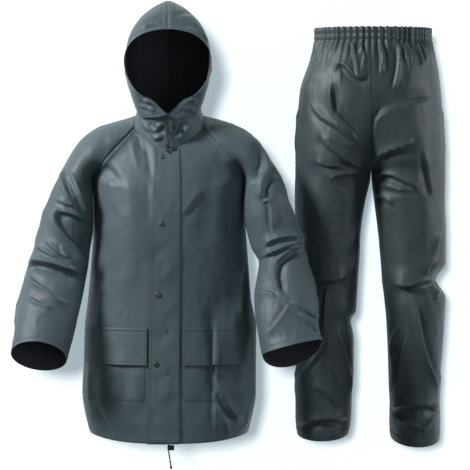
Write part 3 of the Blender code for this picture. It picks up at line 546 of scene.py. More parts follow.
def drape_lift(grid, normals, drapes):
    """Large folds that lap over a hollow. The cloth rises to a crisp edge along the path, drops on the left
    of the way along it, and comes up again."""
    lift = np.zeros(grid.shape[:2])
    for drape in drapes:
        last = len(drape.path) - 1
        path = smooth(drape.path, np.linspace(0, last, DRAPE_STEPS * last + 1))
        away, along, side = beside(grid[..., FACE_AXES[drape.face][:2]], path)
        taper = ease(along / DRAPE_TAPER) * ease((1 - along) / DRAPE_TAPER)
        lit = drape.rise * np.exp(-((away / drape.rise_width) ** DRAPE_POWER))
        edge = (drape.rise + drape.drop) * bell(away, DRAPE_EDGE + EDGE_PER_DROP * drape.drop)
        hollow = edge - drape.drop * bell(away, drape.drop_width)
        lip = DRAPE_LIP * min(1, drape.rise / LIP_RISE) * bell(away, LIP_WIDTH)
        relief = DRAPE_DEPTH * np.where(side > 0, hollow, lit) + lip
        lift += relief * facing(normals, drape.face) * taper
    lift = MOST_LIFT * np.tanh(lift / MOST_LIFT)
    soft = np.array(lift)
    beside_each = lift[:-2, 1:-1] + lift[2:, 1:-1] + lift[1:-1, :-2] + lift[1:-1, 2:]
    soft[1:-1, 1:-1] = (4 * lift[1:-1, 1:-1] + beside_each) / 8
    return soft


NOISE_CELLS = 32


def noise(points, sizes, seed):
    """Smooth noise from -1 to 1, with features of these sizes along X, Y and Z."""
    table = np.random.default_rng(seed).uniform(-1, 1, (NOISE_CELLS,) * 3)
    place = points / np.array(sizes, float)
    low = np.floor(place).astype(int)
    share = ease(place - low)
    total = 0
    for dx in (0, 1):
        for dy in (0, 1):
            for dz in (0, 1):
                weight = 1
                for k, d in enumerate((dx, dy, dz)):
                    weight = weight * (share[..., k] if d else 1 - share[..., k])
                index = (low + (dx, dy, dz)) % NOISE_CELLS
                total = total + weight * table[index[..., 0], index[..., 1], index[..., 2]]
    return total


SLACK_SIZES = (70, 80, 130)
SLACK_HEIGHT = 1.3
RIPPLE_SIZES = (26, 30, 60)
RIPPLE_HEIGHT = 0.5
CRUMPLE_SIZES = (22, 24, 40)
CRUMPLE_HEIGHT = 0.7
CRUMPLE_ROUNDING = 0.004


def unevenness(grid, seed, height=1.0):
    """Broad slack, then ripples that run down the cloth and fine sharp-backed crumples."""
    slack = noise(grid, SLACK_SIZES, seed) * SLACK_HEIGHT
    ripple = noise(grid + 900, RIPPLE_SIZES, seed + 1)
    crumple = 0.5 - 2 * np.sqrt(noise(grid + 400, CRUMPLE_SIZES, seed + 2) ** 2 + CRUMPLE_ROUNDING)
    return height * (slack + RIPPLE_HEIGHT * ripple + CRUMPLE_HEIGHT * crumple)


# How far the raglan seams are filled out, and how wide, at levels of the trunk
FILL_LEVELS = [0, 1, 2, 3, 3.55, 4]
FILL_HEIGHTS = [0, 4, 9, 21, 15, 0]
FILL_WIDTHS = [20, 28, 36, 45, 45, 40]


def filled(grid, levels, column, towards):
    """Fills the hollow beside a raglan seam, at the grid's first or last column, so that cloth runs
    smoothly across it."""
    run = runs_along(grid, 1)[0 if column == 0 else 1]
    height = np.interp(levels, FILL_LEVELS, FILL_HEIGHTS, right=0)[:, None]
    width = np.interp(levels, FILL_LEVELS, FILL_WIDTHS)[:, None]
    grid = np.array(grid)
    grid[..., 1] += towards * height * np.clip(1 - run / width, 0, 1) ** 2
    return grid


SEAM_DIP = 0.9
SEAM_WIDTH = 1.9
LAP_RISE = 0.7
LAP_AT = 6.0
LAP_WIDTH = 3.2
HEM_RISE = 0.7
HEM_WIDTH = 18.0
HEM_STEP = 3.0
HEM_LINE_DEPTH = 0.6
HEM_LINE_WIDTH = 1.6
HEM_LINE_INSET = 2
PUCKER = 0.45
PUCKER_PITCH = 11.0
PUCKER_REACH = 9.0
PUCKER_WANDER = 3
PUCKER_WANDER_SIZES = (60, 60, 60)
HEM_PUCKER_SHARE = 0.8


def edge_lift(away, along, kind, seed):
    """The relief beside one edge: a seam's dip and lap, or a hem's double cloth and its stitched line."""
    if kind == "plain":
        return 0 * away
    places = np.stack([along, 0 * along, away], -1)
    wander = PUCKER_WANDER * noise(places, PUCKER_WANDER_SIZES, seed)
    pucker = PUCKER * np.sin(along * (2 * math.pi / PUCKER_PITCH) + wander)
    if kind == "seam":
        lines = LAP_RISE * bell(away, LAP_WIDTH, LAP_AT) - SEAM_DIP * bell(away, SEAM_WIDTH)
        return lines + pucker * bell(away, PUCKER_REACH)
    double = HEM_RISE * ease((HEM_WIDTH + HEM_STEP / 2 - away) / HEM_STEP)
    line = HEM_LINE_DEPTH * bell(away, HEM_LINE_WIDTH, HEM_WIDTH - HEM_LINE_INSET)
    return double - line + HEM_PUCKER_SHARE * pucker * bell(away, PUCKER_REACH, HEM_WIDTH)


def edges_lift(grid, kinds, seed):
    """Relief beside the four edges: top, bottom, first column, last column."""
    down, up = runs_along(grid, 0)
    left, right = runs_along(grid, 1)
    lift = np.zeros(grid.shape[:2])
    sides = ((down, left), (up, left), (left, down), (right, down))
    for k, ((away, along), kind) in enumerate(zip(sides, kinds)):
        lift = lift + edge_lift(away, along, kind, seed + k)
    return lift


# How far in from a panel's edge its relief starts, its creases are full and its unevenness is full
EDGE_HOLD = 1.6
CREASE_FADE = 14.0
ROUGH_FADE = 16.0


def shaped(grid, inside, folds, creases, kinds, seed, rough=1.0, near=0.25, drapes=()):
    """A panel's grid with all its relief. Folds and creases die out towards the panel's edges, and the very
    edge stays on its form, so that two panels meet at their seam."""
    normals = normals_of(grid, inside)
    away = distance_to_edges(grid)
    lift = fold_lift(grid, normals, folds) * np.clip(away / FOLD_FADE, 0, 1)
    inner = near + (1 - near) * ease(away / CREASE_FADE)
    lift = lift + (crease_lift(grid, normals, creases) + drape_lift(grid, normals, drapes)) * inner
    lift = lift + unevenness(grid, seed, rough) * ease(away / ROUGH_FADE)
    lift = (lift + edges_lift(grid, kinds, seed)) * ease(away / EDGE_HOLD)
    return grid + normals * lift[..., None]


print("crease steps", CREASE_STEPS)


# %% [markdown]
# A piece is a thin shell: an outer skin, an inner skin 1.3 mm inside it, and a rim round all edges.
# Its first material is the cloth's face and its second the dark back of the coating.

# %% Shells
SHELL = 1.3
# Neighbouring panels overlap by this much, so that no gap shows along their seam.
SEAM_GAP = -1.4
STITCH_LIFT = 0.25
grids = {}
stitch_lines = []


def trimmed(grid, gap):
    """The grid with its four edges drawn in by this much, along the cloth."""
    grid = np.array(grid)
    for axis in (0, 1):
        lines = np.moveaxis(grid, axis, 0)
        lines[0] += unit(lines[1] - lines[0]) * gap
        lines[-1] += unit(lines[-2] - lines[-1]) * gap
    return grid


def quads(numbers):
    corners = (numbers[:-1, :-1], numbers[:-1, 1:], numbers[1:, 1:], numbers[1:, :-1])
    return np.stack([corner.ravel() for corner in corners], axis=-1)


def shell(name, outer, inner, inside, slots, closed=False):
    """Builds the shell's mesh, with UVs in metres along the cloth."""
    rows, columns = outer.shape[:2]
    numbers = np.arange(rows * columns).reshape(rows, columns)
    if closed:
        numbers = np.concatenate([numbers, numbers[:, :1]], axis=1)
    under = numbers + rows * columns
    face, back = quads(numbers), quads(under)[:, ::-1]
    corner = outer.reshape(-1, 3)[face]
    turn = np.cross(corner[:, 1] - corner[:, 0], corner[:, 3] - corner[:, 0])
    reference = np.broadcast_to(inside, outer.shape).reshape(-1, 3)[face[:, 0]]
    outward = (turn * (corner[:, 0] - reference)).sum() > 0
    rims = [np.stack([numbers[0], under[0]]), np.stack([under[-1], numbers[-1]])]
    if not closed:
        rims += [np.stack([under[:, 0], numbers[:, 0]]), np.stack([numbers[:, -1], under[:, -1]])]
    rim = np.concatenate([quads(line) for line in rims])
    faces = np.concatenate([face, back, rim])
    faces = faces if outward else faces[:, ::-1]
    mesh = bpy.data.meshes.new(name)
    points = np.concatenate([outer.reshape(-1, 3), inner.reshape(-1, 3)]) * MM
    mesh.from_pydata(points.tolist(), [], faces.tolist())
    kinds = np.zeros(len(faces), np.int32)
    kinds[len(face) : len(face) + len(back)] = 1
    for slot in slots:
        mesh.materials.append(slot)
    mesh.polygons.foreach_set("material_index", kinds)
    across, down = runs_along(outer, 1)[0], runs_along(outer, 0)[0]
    flat = np.stack([across, down], axis=-1).reshape(-1, 2) * MM
    flat = np.concatenate([flat, flat])
    layer = mesh.uv_layers.new(name="cloth")
    vertex = np.empty(len(mesh.loops), np.int32)
    mesh.loops.foreach_get("vertex_index", vertex)
    layer.data.foreach_set("uv", flat[vertex].ravel().astype(np.float32))
    mesh.shade_smooth()
    mesh.set_sharp_from_angle(angle=math.radians(60))
    return add_object(name, mesh)


def place(obj, *nodes, slot=None):
    """Rides on the suit's one body and stands for its CAD nodes, which it hides."""
    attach(obj, "root")
    if nodes:
        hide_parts(*nodes)
    return obj


def panel(node, grid, inside, slots, wall=SHELL):
    outer = trimmed(grid, SEAM_GAP / 2)
    grids[node] = outer
    inner = outer - normals_of(grid, inside) * wall
    return place(shell(node + "_cloth", outer, inner, inside, slots), node)


def stitch_beside(grid, inside, axis, end, away, lift=STITCH_LIFT):
    """A line of stitches this far in from an edge of a grid."""
    run = runs_along(grid, axis)[0 if end == 0 else 1]
    normals = normals_of(grid, inside)
    points = np.moveaxis(grid + normals * lift, axis, 0)
    run = np.moveaxis(run, axis, 0)
    if end != 0:
        points, run = points[::-1], run[::-1]
    line = [[np.interp(away, run[:, k], points[:, k, j]) for j in range(3)] for k in range(points.shape[1])]
    stitch_lines.append(np.array(line))


print("shell", SHELL, "mm")

# %% [markdown]
# Creases and large folds read off the photograph: those of the jacket's front, with softer creases on its
# back, and then the large folds of the trousers' legs. Large folds of sleeves and legs come again, weaker,
# on their backs. The back panel has soft creases only.

# %% Creases and large folds
def seen_from(face, *rows):
    """Creases drawn in one view."""
    return [Crease(face, *row) for row in rows]


TRUNK_CREASES = seen_from(
    "front",
    (-76, -25, -70, -45, -61, -72, 6, -3),
    (-66, -22, -50, -80, -38, -150, 8, -4),
    (-92, -30, -84, -70, -70, -120, 7, 2.5),
    (-159, -100, -140, -118, -118, -152, 9, -3.5),
    (-150, -130, -136, -170, -130, -230, 12, 2.5),
    (-52, -130, -48, -190, -46, -260, 10, -3),
    (-105, -180, -98, -320, -112, -470, 26, 3),
    (-168, -200, -172, -330, -176, -470, 12, -3),
    (-70, -600, -76, -650, -72, -720, 14, 3),
    (-112, -610, -104, -650, -110, -700, 10, -2.5),
    (-160, -600, -165, -670, -150, -740, 16, 3),
    (-176, -690, -160, -730, -140, -764, 8, -3),
    (-196, -600, -198, -650, -192, -710, 7, 2.5),
)
BACK_CREASES = seen_from(
    "back",
    (-70, -40, -60, -90, -66, -170, 9, -4),
    (60, -36, 56, -84, 48, -150, 8, -4),
    (-150, -120, -120, -170, -104, -250, 12, 5),
    (150, -124, 126, -186, 98, -246, 12, 5),
    (-168, -210, -128, -262, -70, -286, 11, -5),
    (166, -200, 132, -240, 84, -262, 10, -5),
    (-20, -180, -26, -300, -14, -440, 20, 4),
    (88, -320, 96, -430, 84, -560, 16, -5),
    (-104, -340, -112, -450, -98, -590, 15, -6),
    (-160, -360, -156, -480, -168, -620, 11, 5),
    (158, -380, 152, -500, 164, -640, 11, 6),
    (30, -500, 40, -620, 28, -740, 18, 4),
    (-60, -600, -54, -680, -66, -750, 12, -4),
    (110, -660, 104, -720, 112, -770, 8, -4),
    (-140, -680, -136, -730, -144, -768, 8, 3),
)
LEFT_SLEEVE_CREASES = seen_from(
    "back",
    (-250, -130, -232, -190, -206, -262, 11, -8),
    (-276, -150, -256, -210, -232, -280, 10, 6),
    (-332, -318, -280, -326, -222, -362, 9, 6),
    (-342, -338, -282, -352, -222, -386, 9, -7),
    (-350, -380, -300, -412, -246, -430, 8, 5),
    (-354, -410, -310, -440, -262, -452, 8, -4),
) + seen_from(
    "left",
    (-60, -110, -70, -190, -50, -260, 12, 5),
    (-20, -260, -60, -310, -90, -330, 9, -6),
    (-110, -420, -130, -470, -160, -500, 9, 4),
)
RIGHT_SLEEVE_CREASES = seen_from(
    "back",
    (246, -130, 230, -190, 214, -262, 11, -8),
    (272, -146, 256, -204, 240, -272, 10, 6),
    (232, -330, 280, -314, 336, -306, 8, 7),
    (230, -350, 284, -344, 344, -334, 8, -7),
    (240, -376, 290, -402, 350, -410, 8, 5),
    (246, -404, 292, -434, 352, -444, 8, -4),
) + seen_from(
    "right",
    (-60, -110, -70, -190, -50, -250, 12, 5),
    (-30, -270, -62, -306, -96, -330, 9, -6),
    (-110, -420, -134, -460, -160, -490, 9, 4),
)
HOOD_CREASES = seen_from(
    "front",
    (-58, 243, -40, 250, -18, 249, 6, -3),
    (-38, 266, -24, 263, -10, 264, 5, -2),
    (14, 262, 40, 270, 68, 275, 8, -3.5),
    (72, 268, 82, 250, 90, 228, 5, 4.5),
    (66, 256, 84, 236, 104, 204, 6, -4),
    (-54, 68, -38, 58, -18, 46, 6, 5),
    (-68, 84, -52, 74, -34, 62, 7, -4.5),
    (-72, 60, -56, 46, -40, 38, 7, -3),
    (50, 70, 62, 60, 72, 42, 7, 3),
    (-92, 230, -80, 255, -50, 280, 14, 3),
) + seen_from(
    "left",
    (-40, 60, 0, 90, 40, 96, 12, -5),
    (-60, 110, 0, 140, 60, 130, 14, 5),
    (-30, 230, 30, 250, 80, 240, 14, -4),
) + seen_from(
    "right",
    (-40, 62, 0, 84, 44, 90, 12, -5),
    (-60, 120, 0, 146, 56, 140, 14, 5),
    (-20, 236, 36, 252, 84, 236, 14, -4),
) + seen_from(
    "back",
    (-50, 60, -30, 110, -44, 170, 12, -4),
    (46, 60, 34, 120, 48, 180, 12, 4),
)
COLLAR_CREASES = seen_from(
    "front",
    (-46, 4, -40, -6, -31, -19, 6, -5),
    (-29, -17, -18, -14, -4, 2, 5, -5),
    (-28, -4, -20, -4, -12, 2, 5, 3),
    (-60, 10, -56, -4, -48, -18, 6, 3),
    (-28, -40, -20, -30, -6, -36, 6, 3),
    (34, 4, 30, -12, 22, -34, 6, -4),
    (50, 8, 46, -8, 38, -22, 6, 3),
) + seen_from(
    "left",
    (-20, 0, 0, 20, 30, 24, 8, -3),
) + seen_from(
    "right",
    (-20, 0, 0, 18, 30, 22, 8, -3),
) + seen_from(
    "back",
    (-30, 20, -10, 30, 20, 24, 8, -3),
)
# Large folds that lap over a hollow, which lies on the left of the way along the path.
TRUNK_DRAPES = [
    Drape([(86, -158), (60, -194), (34, -232)], 3, 13, 4, 16),
    Drape([(183, -352), (181, -388), (179, -438), (177, -508)], 7, 11, 9, 20),
    Drape([(121, -785), (117, -690), (120, -590), (121, -455)], 5, 13, 7, 11),
    Drape([(180, -738), (156, -713), (131, -668), (116, -628)], 6, 13, 6, 13),
    Drape([(178, -762), (196, -737), (192, -708)], 3, 6, 3, 7),
    Drape([(150, -776), (146, -752), (134, -730)], 3, 6, 3, 7),
]
LEFT_SLEEVE_DRAPES = [
    Drape([(-196, -232), (-209, -200), (-225, -158), (-244, -112)], 4, 9, 8, 12),
    Drape([(-256, -104), (-264, -125), (-252, -167), (-234, -198)], 6, 13, 6, 11),
    Drape([(-230, -204), (-254, -196), (-276, -184)], 4, 8, 4, 8),
    Drape([(-192, -250), (-213, -234), (-242, -221), (-286, -213)], 4, 9, 7, 13),
    Drape([(-286, -208), (-281, -232), (-270, -258), (-246, -288), (-225, -313), (-212, -346), (-212, -380)],
          8, 12, 15, 34),
    Drape([(-206, -372), (-242, -361), (-284, -346), (-325, -339), (-352, -360)], 8, 10, 14, 20),
    Drape([(-352, -372), (-325, -396), (-300, -412), (-275, -433), (-236, -450)], 7, 11, 7, 13),
    Drape([(-348, -424), (-313, -446), (-278, -456)], 4, 7, 4, 8),
    Drape([(-270, -335), (-300, -317), (-334, -298)], 4, 8, 4, 9),
    Drape([(-238, -336), (-271, -317), (-304, -284)], 4, 9, 4, 9),
    Drape([(-226, -354), (-250, -329), (-266, -296)], 4, 7, 5, 8),
]
RIGHT_SLEEVE_DRAPES = [
    Drape([(198, -174), (220, -150), (233, -133), (243, -100), (239, -71), (222, -36)], 6, 8, 11, 26),
    Drape([(268, -84), (245, -125), (232, -160), (231, -192)], 7, 9, 11, 20),
    Drape([(264, -280), (258, -238), (256, -208), (246, -190), (232, -190)], 5, 8, 6, 10),
    Drape([(350, -277), (295, -279), (258, -288), (236, -306)], 5, 11, 11, 12),
    Drape([(350, -287), (316, -294), (287, -306), (262, -317), (222, -331)], 7, 8, 7, 11),
    Drape([(348, -302), (316, -304), (291, -321), (268, -346), (264, -371), (270, -404), (300, -442)],
          6, 9, 10, 20),
    Drape([(382, -487), (337, -458), (298, -432)], 4, 5, 4, 8),
    Drape([(382, -522), (345, -488), (318, -462)], 4, 6, 4, 8),
    Drape([(244, -524), (268, -495), (287, -467), (306, -440)], 4, 13, 4, 12),
    Drape([(222, -424), (246, -416), (270, -428)], 3, 12, 3, 10),
]
LEFT_LEG_DRAPES = [
    Drape([(476, -58), (427, -11), (377, 25), (360, 57), (360, 96), (371, 132), (373, 205)], 6, 10, 9, 14),
    Drape([(404, 110), (405, 75), (409, 36), (427, 14), (452, -14), (478, -52)], 6, 9, 9, 15),
    Drape([(376, -22), (427, -39), (472, -56)], 3, 11, 4, 7),
    Drape([(500, -108), (462, -97), (427, -75), (391, -45), (380, -22)], 4, 13, 6, 17),
    Drape([(440, -104), (400, -102), (362, -88)], 3, 12, 3, 12),
    Drape([(502, -110), (452, -121), (416, -129), (404, -145)], 5, 15, 8, 36),
    Drape([(475, 112), (466, 170), (458, 214)], 4, 6, 7, 8),
    Drape([(502, 146), (477, 116), (459, 125), (441, 146), (427, 152), (408, 130)], 4, 15, 6, 24),
    Drape([(478, 206), (488, 168), (480, 118)], 3, 6, 4, 8),
    Drape([(350, -380), (352, -330), (344, -262)], 3, 14, 6, 22),
    Drape([(481, -262), (463, -342), (450, -376)], 5, 6, 5, 9),
    Drape([(486, -200), (470, -250), (446, -330)], 4, 6, 4, 9),
    Drape([(452, -376), (400, -389), (356, -380)], 7, 24, 8, 34),
    Drape([(418, -505), (434, -550), (446, -608), (457, -650), (459, -690)], 6, 7, 6, 12),
    Drape([(440, -560), (452, -604), (462, -640)], 3, 4, 3, 6),
    Drape([(390, -530), (371, -575), (342, -617), (320, -652)], 4, 6, 4, 9),
    Drape([(386, -520), (390, -450), (394, -400)], 3, 13, 4, 13),
    Drape([(464, -731), (400, -735), (359, -740), (322, -750)], 5, 15, 12, 20),
    Drape([(420, -705), (390, -668), (352, -650)], 4, 24, 3, 18),
]
RIGHT_LEG_DRAPES = [
    Drape([(618, -40), (577, -56), (541, -68), (508, -84)], 6, 11, 8, 18),
    Drape([(632, -160), (587, -139), (552, -123), (504, -119)], 6, 13, 12, 14),
    Drape([(564, -202), (537, -178), (505, -166)], 5, 9, 7, 13),
    Drape([(630, -164), (580, -162), (520, -146)], 4, 10, 3, 10),
    Drape([(558, 70), (572, 130), (576, 176), (573, 214)], 4, 6, 5, 9),
    Drape([(592, 150), (593, 184), (591, 212)], 3, 6, 4, 7),
    Drape([(637, 144), (627, 178), (614, 206)], 4, 6, 4, 8),
    Drape([(650, 150), (640, 186), (634, 210)], 3, 6, 4, 7),
    Drape([(530, 120), (533, 164), (528, 206)], 4, 6, 5, 8),
    Drape([(508, -60), (520, 10), (560, 40), (612, 52), (668, 66)], 3, 22, 7, 40),
    Drape([(660, -180), (650, -130), (636, -60)], 3, 14, 5, 18),
    Drape([(681, -262), (667, -312), (638, -378)], 5, 8, 5, 11),
    Drape([(676, -384), (640, -389), (596, -402), (556, -394)], 6, 22, 8, 34),
    Drape([(612, -430), (625, -500), (642, -575), (667, -642), (680, -680)], 6, 7, 7, 14),
    Drape([(579, -492), (559, -550), (550, -588)], 5, 5, 5, 9),
    Drape([(552, -694), (575, -650), (584, -583), (598, -520)], 5, 6, 6, 11),
    Drape([(690, -716), (655, -700), (600, -702), (545, -714)], 5, 17, 13, 26),
    Drape([(548, -722), (600, -746), (634, -757), (684, -720)], 5, 9, 4, 12),
    Drape([(690, -400), (676, -420), (668, -440)], 4, 8, 4, 9),
]
HOOD_DRAPES = [
    Drape([(-84, 92), (-60, 80), (-38, 68), (-14, 44)], 4, 6, 4, 8),
    Drape([(-10, 36), (-36, 52), (-66, 60)], 4, 7, 5, 9),
    Drape([(-30, 26), (-50, 40), (-78, 46)], 3, 7, 4, 8),
    Drape([(104, 190), (92, 222), (76, 254), (64, 276)], 5, 6, 6, 10),
    Drape([(20, 262), (48, 270), (70, 262)], 3, 8, 5, 9),
    Drape([(96, 196), (74, 222), (40, 238)], 3, 7, 3, 8),
    Drape([(-14, 250), (-40, 247), (-66, 232)], 3, 7, 4, 8),
    Drape([(20, 44), (44, 60), (66, 74)], 4, 7, 4, 9),
    Drape([(70, 24), (56, 36), (34, 40)], 3, 7, 4, 8),
]
COLLAR_DRAPES = [
    Drape([(-22, -44), (-42, -22), (-60, 4)], 3, 8, 5, 10),
    Drape([(-8, -8), (-30, -16), (-56, -6)], 3, 8, 4, 9),
    Drape([(-12, -24), (-26, -36), (-44, -42)], 2, 7, 3, 8),
    Drape([(20, -44), (40, -20), (54, 6)], 3, 8, 5, 10),
]
FLAP_CREASES = seen_from(
    "front",
    (16, -180, 6, -206, -10, -236, 12, 1.32),
    (10, -282, -10, -308, -32, -340, 12, -1.43),
    (20, -338, 0, -368, -28, -402, 13.5, 1.65),
    (20, -434, 2, -458, -22, -484, 12, 1.54),
    (10, -498, -8, -524, -30, -552, 12, -1.65),
    (16, -606, -4, -622, -30, -642, 10.5, -1.43),
    (20, -646, 0, -666, -28, -690, 13.5, 2.2),
    (-26, -700, -34, -730, -40, -772, 12, -1.1),
)
sleeve_creases = len(LEFT_SLEEVE_CREASES) + len(RIGHT_SLEEVE_CREASES)
print("jacket creases", len(TRUNK_CREASES) + len(BACK_CREASES) + sleeve_creases)
print("large folds of the jacket", len(TRUNK_DRAPES) + len(LEFT_SLEEVE_DRAPES) + len(RIGHT_SLEEVE_DRAPES))

# %% [markdown]
# Finer creases on the backs and sides of the trousers' legs, like those of the front: tucks below the
# elastic, folds that run to the crotch, knees, shins and ankles.

# %% Creases of the trousers
LEFT_LEG_CREASES = seen_from(
    "back",
    (346, 60, 410, 0, 484, -60, 10, -8),
    (360, 90, 420, 40, 486, 0, 9, 6),
    (340, -20, 380, -60, 430, -80, 9, 5),
    (396, 200, 400, 150, 410, 100, 7, -4),
    (440, 206, 446, 160, 456, 110, 7, 5),
    (360, -180, 380, -260, 420, -330, 20, 5),
    (340, -380, 400, -392, 460, -380, 9, -8),
    (346, -410, 400, -424, 456, -408, 8, 6),
    (350, -440, 396, -460, 448, -452, 8, -5),
    (380, -520, 400, -590, 390, -660, 12, 4),
    (330, -735, 390, -726, 446, -738, 10, -6),
) + seen_from(
    "left",
    (40, 60, 70, 0, 60, -90, 12, 5),
    (20, -360, 70, -390, 120, -370, 9, -6),
    (40, -600, 80, -640, 110, -700, 9, 4),
)
RIGHT_LEG_CREASES = seen_from(
    "back",
    (536, 60, 590, 0, 670, -60, 10, -8),
    (530, 20, 580, -30, 640, -70, 9, 6),
    (560, 200, 566, 150, 570, 96, 7, -4),
    (612, 204, 616, 160, 628, 110, 7, 5),
    (560, -170, 590, -250, 600, -330, 20, 5),
    (552, -384, 610, -394, 676, -380, 9, -8),
    (556, -412, 612, -424, 668, -412, 8, 6),
    (566, -450, 610, -462, 660, -450, 8, -5),
    (600, -520, 620, -600, 610, -670, 12, 4),
    (566, -738, 616, -728, 672, -740, 10, -6),
) + seen_from(
    "right",
    (40, 60, 74, 0, 66, -100, 12, 5),
    (24, -420, 70, -396, 120, -404, 9, -6),
    (40, -610, 84, -650, 110, -710, 9, 4),
)
print("trouser creases", len(LEFT_LEG_CREASES) + len(RIGHT_LEG_CREASES))


# %% [markdown]
# Coated cloth is a dark slate with a soft sheen. A node group mixes two close tones by slow noise and
# gives the bump of the coating's grain and fine crumple. The back of the coating is near black.

# %% Materials
Look = namedtuple("Look", "light dark rough_low rough_high bump sheen")
LOOKS = {
    "jacket": Look((0.073, 0.110, 0.125), (0.059, 0.090, 0.102), 0.50, 0.60, 0.13, 0.10),
    "trousers": Look((0.041, 0.060, 0.068), (0.032, 0.048, 0.055), 0.47, 0.57, 0.13, 0.08),
}
INSIDE_COLOUR = (0.058, 0.060, 0.074)
CLOTH_SPECULAR = 0.42
CLOTH_SHEEN_ROUGHNESS = 0.45


def wire(links, *rows):
    """Links given as source node, its output, target node and its input."""
    for source, output, target, entry in rows:
        links.new(source.outputs[output], target.inputs[entry])


def grain_group():
    """Puts out a tone mask, a roughness mask and a bumped normal from object coordinates."""
    group = bpy.data.node_groups.new("coated_grain", "ShaderNodeTree")
    group.interface.new_socket("Bump", in_out="INPUT", socket_type="NodeSocketFloat")
    for name, kind in (("Tone", "Float"), ("Gloss", "Float"), ("Normal", "Vector")):
        group.interface.new_socket(name, in_out="OUTPUT", socket_type="NodeSocket" + kind)
    nodes, links = group.nodes, group.links
    enter, leave = nodes.new("NodeGroupInput"), nodes.new("NodeGroupOutput")
    coords = nodes.new("ShaderNodeTexCoord")

    def noise_node(scale, detail, stretch):
        mapping = nodes.new("ShaderNodeMapping")
        mapping.inputs["Scale"].default_value = stretch
        texture = nodes.new("ShaderNodeTexNoise")
        texture.inputs["Scale"].default_value = scale
        texture.inputs["Detail"].default_value = detail
        wire(links, (coords, "Object", mapping, "Vector"), (mapping, "Vector", texture, "Vector"))
        return texture.outputs["Fac"]

    def bump_node(height, distance, normal=None):
        bump = nodes.new("ShaderNodeBump")
        bump.inputs["Distance"].default_value = distance
        links.new(enter.outputs["Bump"], bump.inputs["Strength"])
        links.new(height, bump.inputs["Height"])
        if normal is not None:
            links.new(normal, bump.inputs["Normal"])
        return bump.outputs["Normal"]

    tone = noise_node(5.0, 3.0, (1.0, 1.0, 0.55))
    gloss = noise_node(11.0, 4.0, (1.0, 1.0, 0.4))
    crumple = noise_node(42.0, 3.0, (1.0, 1.0, 0.5))
    grain = noise_node(900.0, 2.0, (1.0, 1.0, 1.0))
    normal = bump_node(grain, 0.0006, bump_node(crumple, 0.006))
    links.new(tone, leave.inputs["Tone"])
    links.new(gloss, leave.inputs["Gloss"])
    links.new(normal, leave.inputs["Normal"])
    return group


GRAIN = grain_group()


def range_node(nodes, links, value, low, high, from_low=0.3, from_high=0.7):
    node = nodes.new("ShaderNodeMapRange")
    node.inputs["From Min"].default_value = from_low
    node.inputs["From Max"].default_value = from_high
    node.inputs["To Min"].default_value = low
    node.inputs["To Max"].default_value = high
    links.new(value, node.inputs["Value"])
    return node.outputs["Result"]


def coated_cloth(name, look):
    material = bpy.data.materials.new(name)
    material.use_nodes = True
    nodes, links = material.node_tree.nodes, material.node_tree.links
    shader = nodes["Principled BSDF"]
    grain = nodes.new("ShaderNodeGroup")
    grain.node_tree = GRAIN
    grain.inputs["Bump"].default_value = look.bump
    mix = nodes.new("ShaderNodeMix")
    mix.data_type = "RGBA"
    mix.inputs["A"].default_value = (*look.dark, 1)
    mix.inputs["B"].default_value = (*look.light, 1)
    links.new(range_node(nodes, links, grain.outputs["Tone"], 0, 1), mix.inputs["Factor"])
    links.new(mix.outputs["Result"], shader.inputs["Base Color"])
    rough = range_node(nodes, links, grain.outputs["Gloss"], look.rough_low, look.rough_high)
    links.new(rough, shader.inputs["Roughness"])
    links.new(grain.outputs["Normal"], shader.inputs["Normal"])
    shader.inputs["Sheen Weight"].default_value = look.sheen
    shader.inputs["Sheen Roughness"].default_value = CLOTH_SHEEN_ROUGHNESS
    shader.inputs["Specular IOR Level"].default_value = CLOTH_SPECULAR
    return material


def plain_material(name, colour, roughness):
    material = bpy.data.materials.new(name)
    material.use_nodes = True
    shader = material.node_tree.nodes["Principled BSDF"]
    shader.inputs["Base Color"].default_value = (*colour, 1)
    shader.inputs["Roughness"].default_value = roughness
    return material


def braid_material(name, colour):
    """Braided cord: one slanted wave as a bump."""
    material = plain_material(name, colour, 0.62)
    nodes, links = material.node_tree.nodes, material.node_tree.links
    coords = nodes.new("ShaderNodeTexCoord")
    wave = nodes.new("ShaderNodeTexWave")
    wave.bands_direction = "DIAGONAL"
    wave.inputs["Scale"].default_value = 420
    bump = nodes.new("ShaderNodeBump")
    bump.inputs["Strength"].default_value = 0.6
    bump.inputs["Distance"].default_value = 0.0004
    shader = nodes["Principled BSDF"]
    wire(links, (coords, "Object", wave, "Vector"), (wave, "Fac", bump, "Height"))
    wire(links, (bump, "Normal", shader, "Normal"))
    return material


jacket_face = coated_cloth("jacket_face", LOOKS["jacket"])
trouser_face = coated_cloth("trouser_face", LOOKS["trousers"])
inside_face = plain_material("coating_back", INSIDE_COLOUR, 0.85)
lock_face = plain_material("lock_black", (0.012, 0.014, 0.016), 0.22)
cap_face = plain_material("stud_cap", (0.034, 0.048, 0.054), 0.42)
tooth_face = plain_material("zip_tooth", (0.02, 0.024, 0.027), 0.28)
thread_face = plain_material("thread", (0.075, 0.098, 0.104), 0.55)
dark_thread_face = plain_material("thread_trousers", (0.036, 0.048, 0.052), 0.55)
cord_face = braid_material("cord_black", (0.014, 0.017, 0.019))
JACKET = (jacket_face, inside_face)
TROUSERS = (trouser_face, inside_face)
print("materials", len(bpy.data.materials))

# %% [markdown]
# The trunk: two fronts and a back. Both fronts also serve as one grid, from which everything that lies
# on them is made.

# %% Trunk
ROWS_ABOVE = 48
ROWS_BELOW = 150
HALF_COLUMNS = 58
BACK_ROWS_BELOW = 120
BACK_COLUMNS = 96


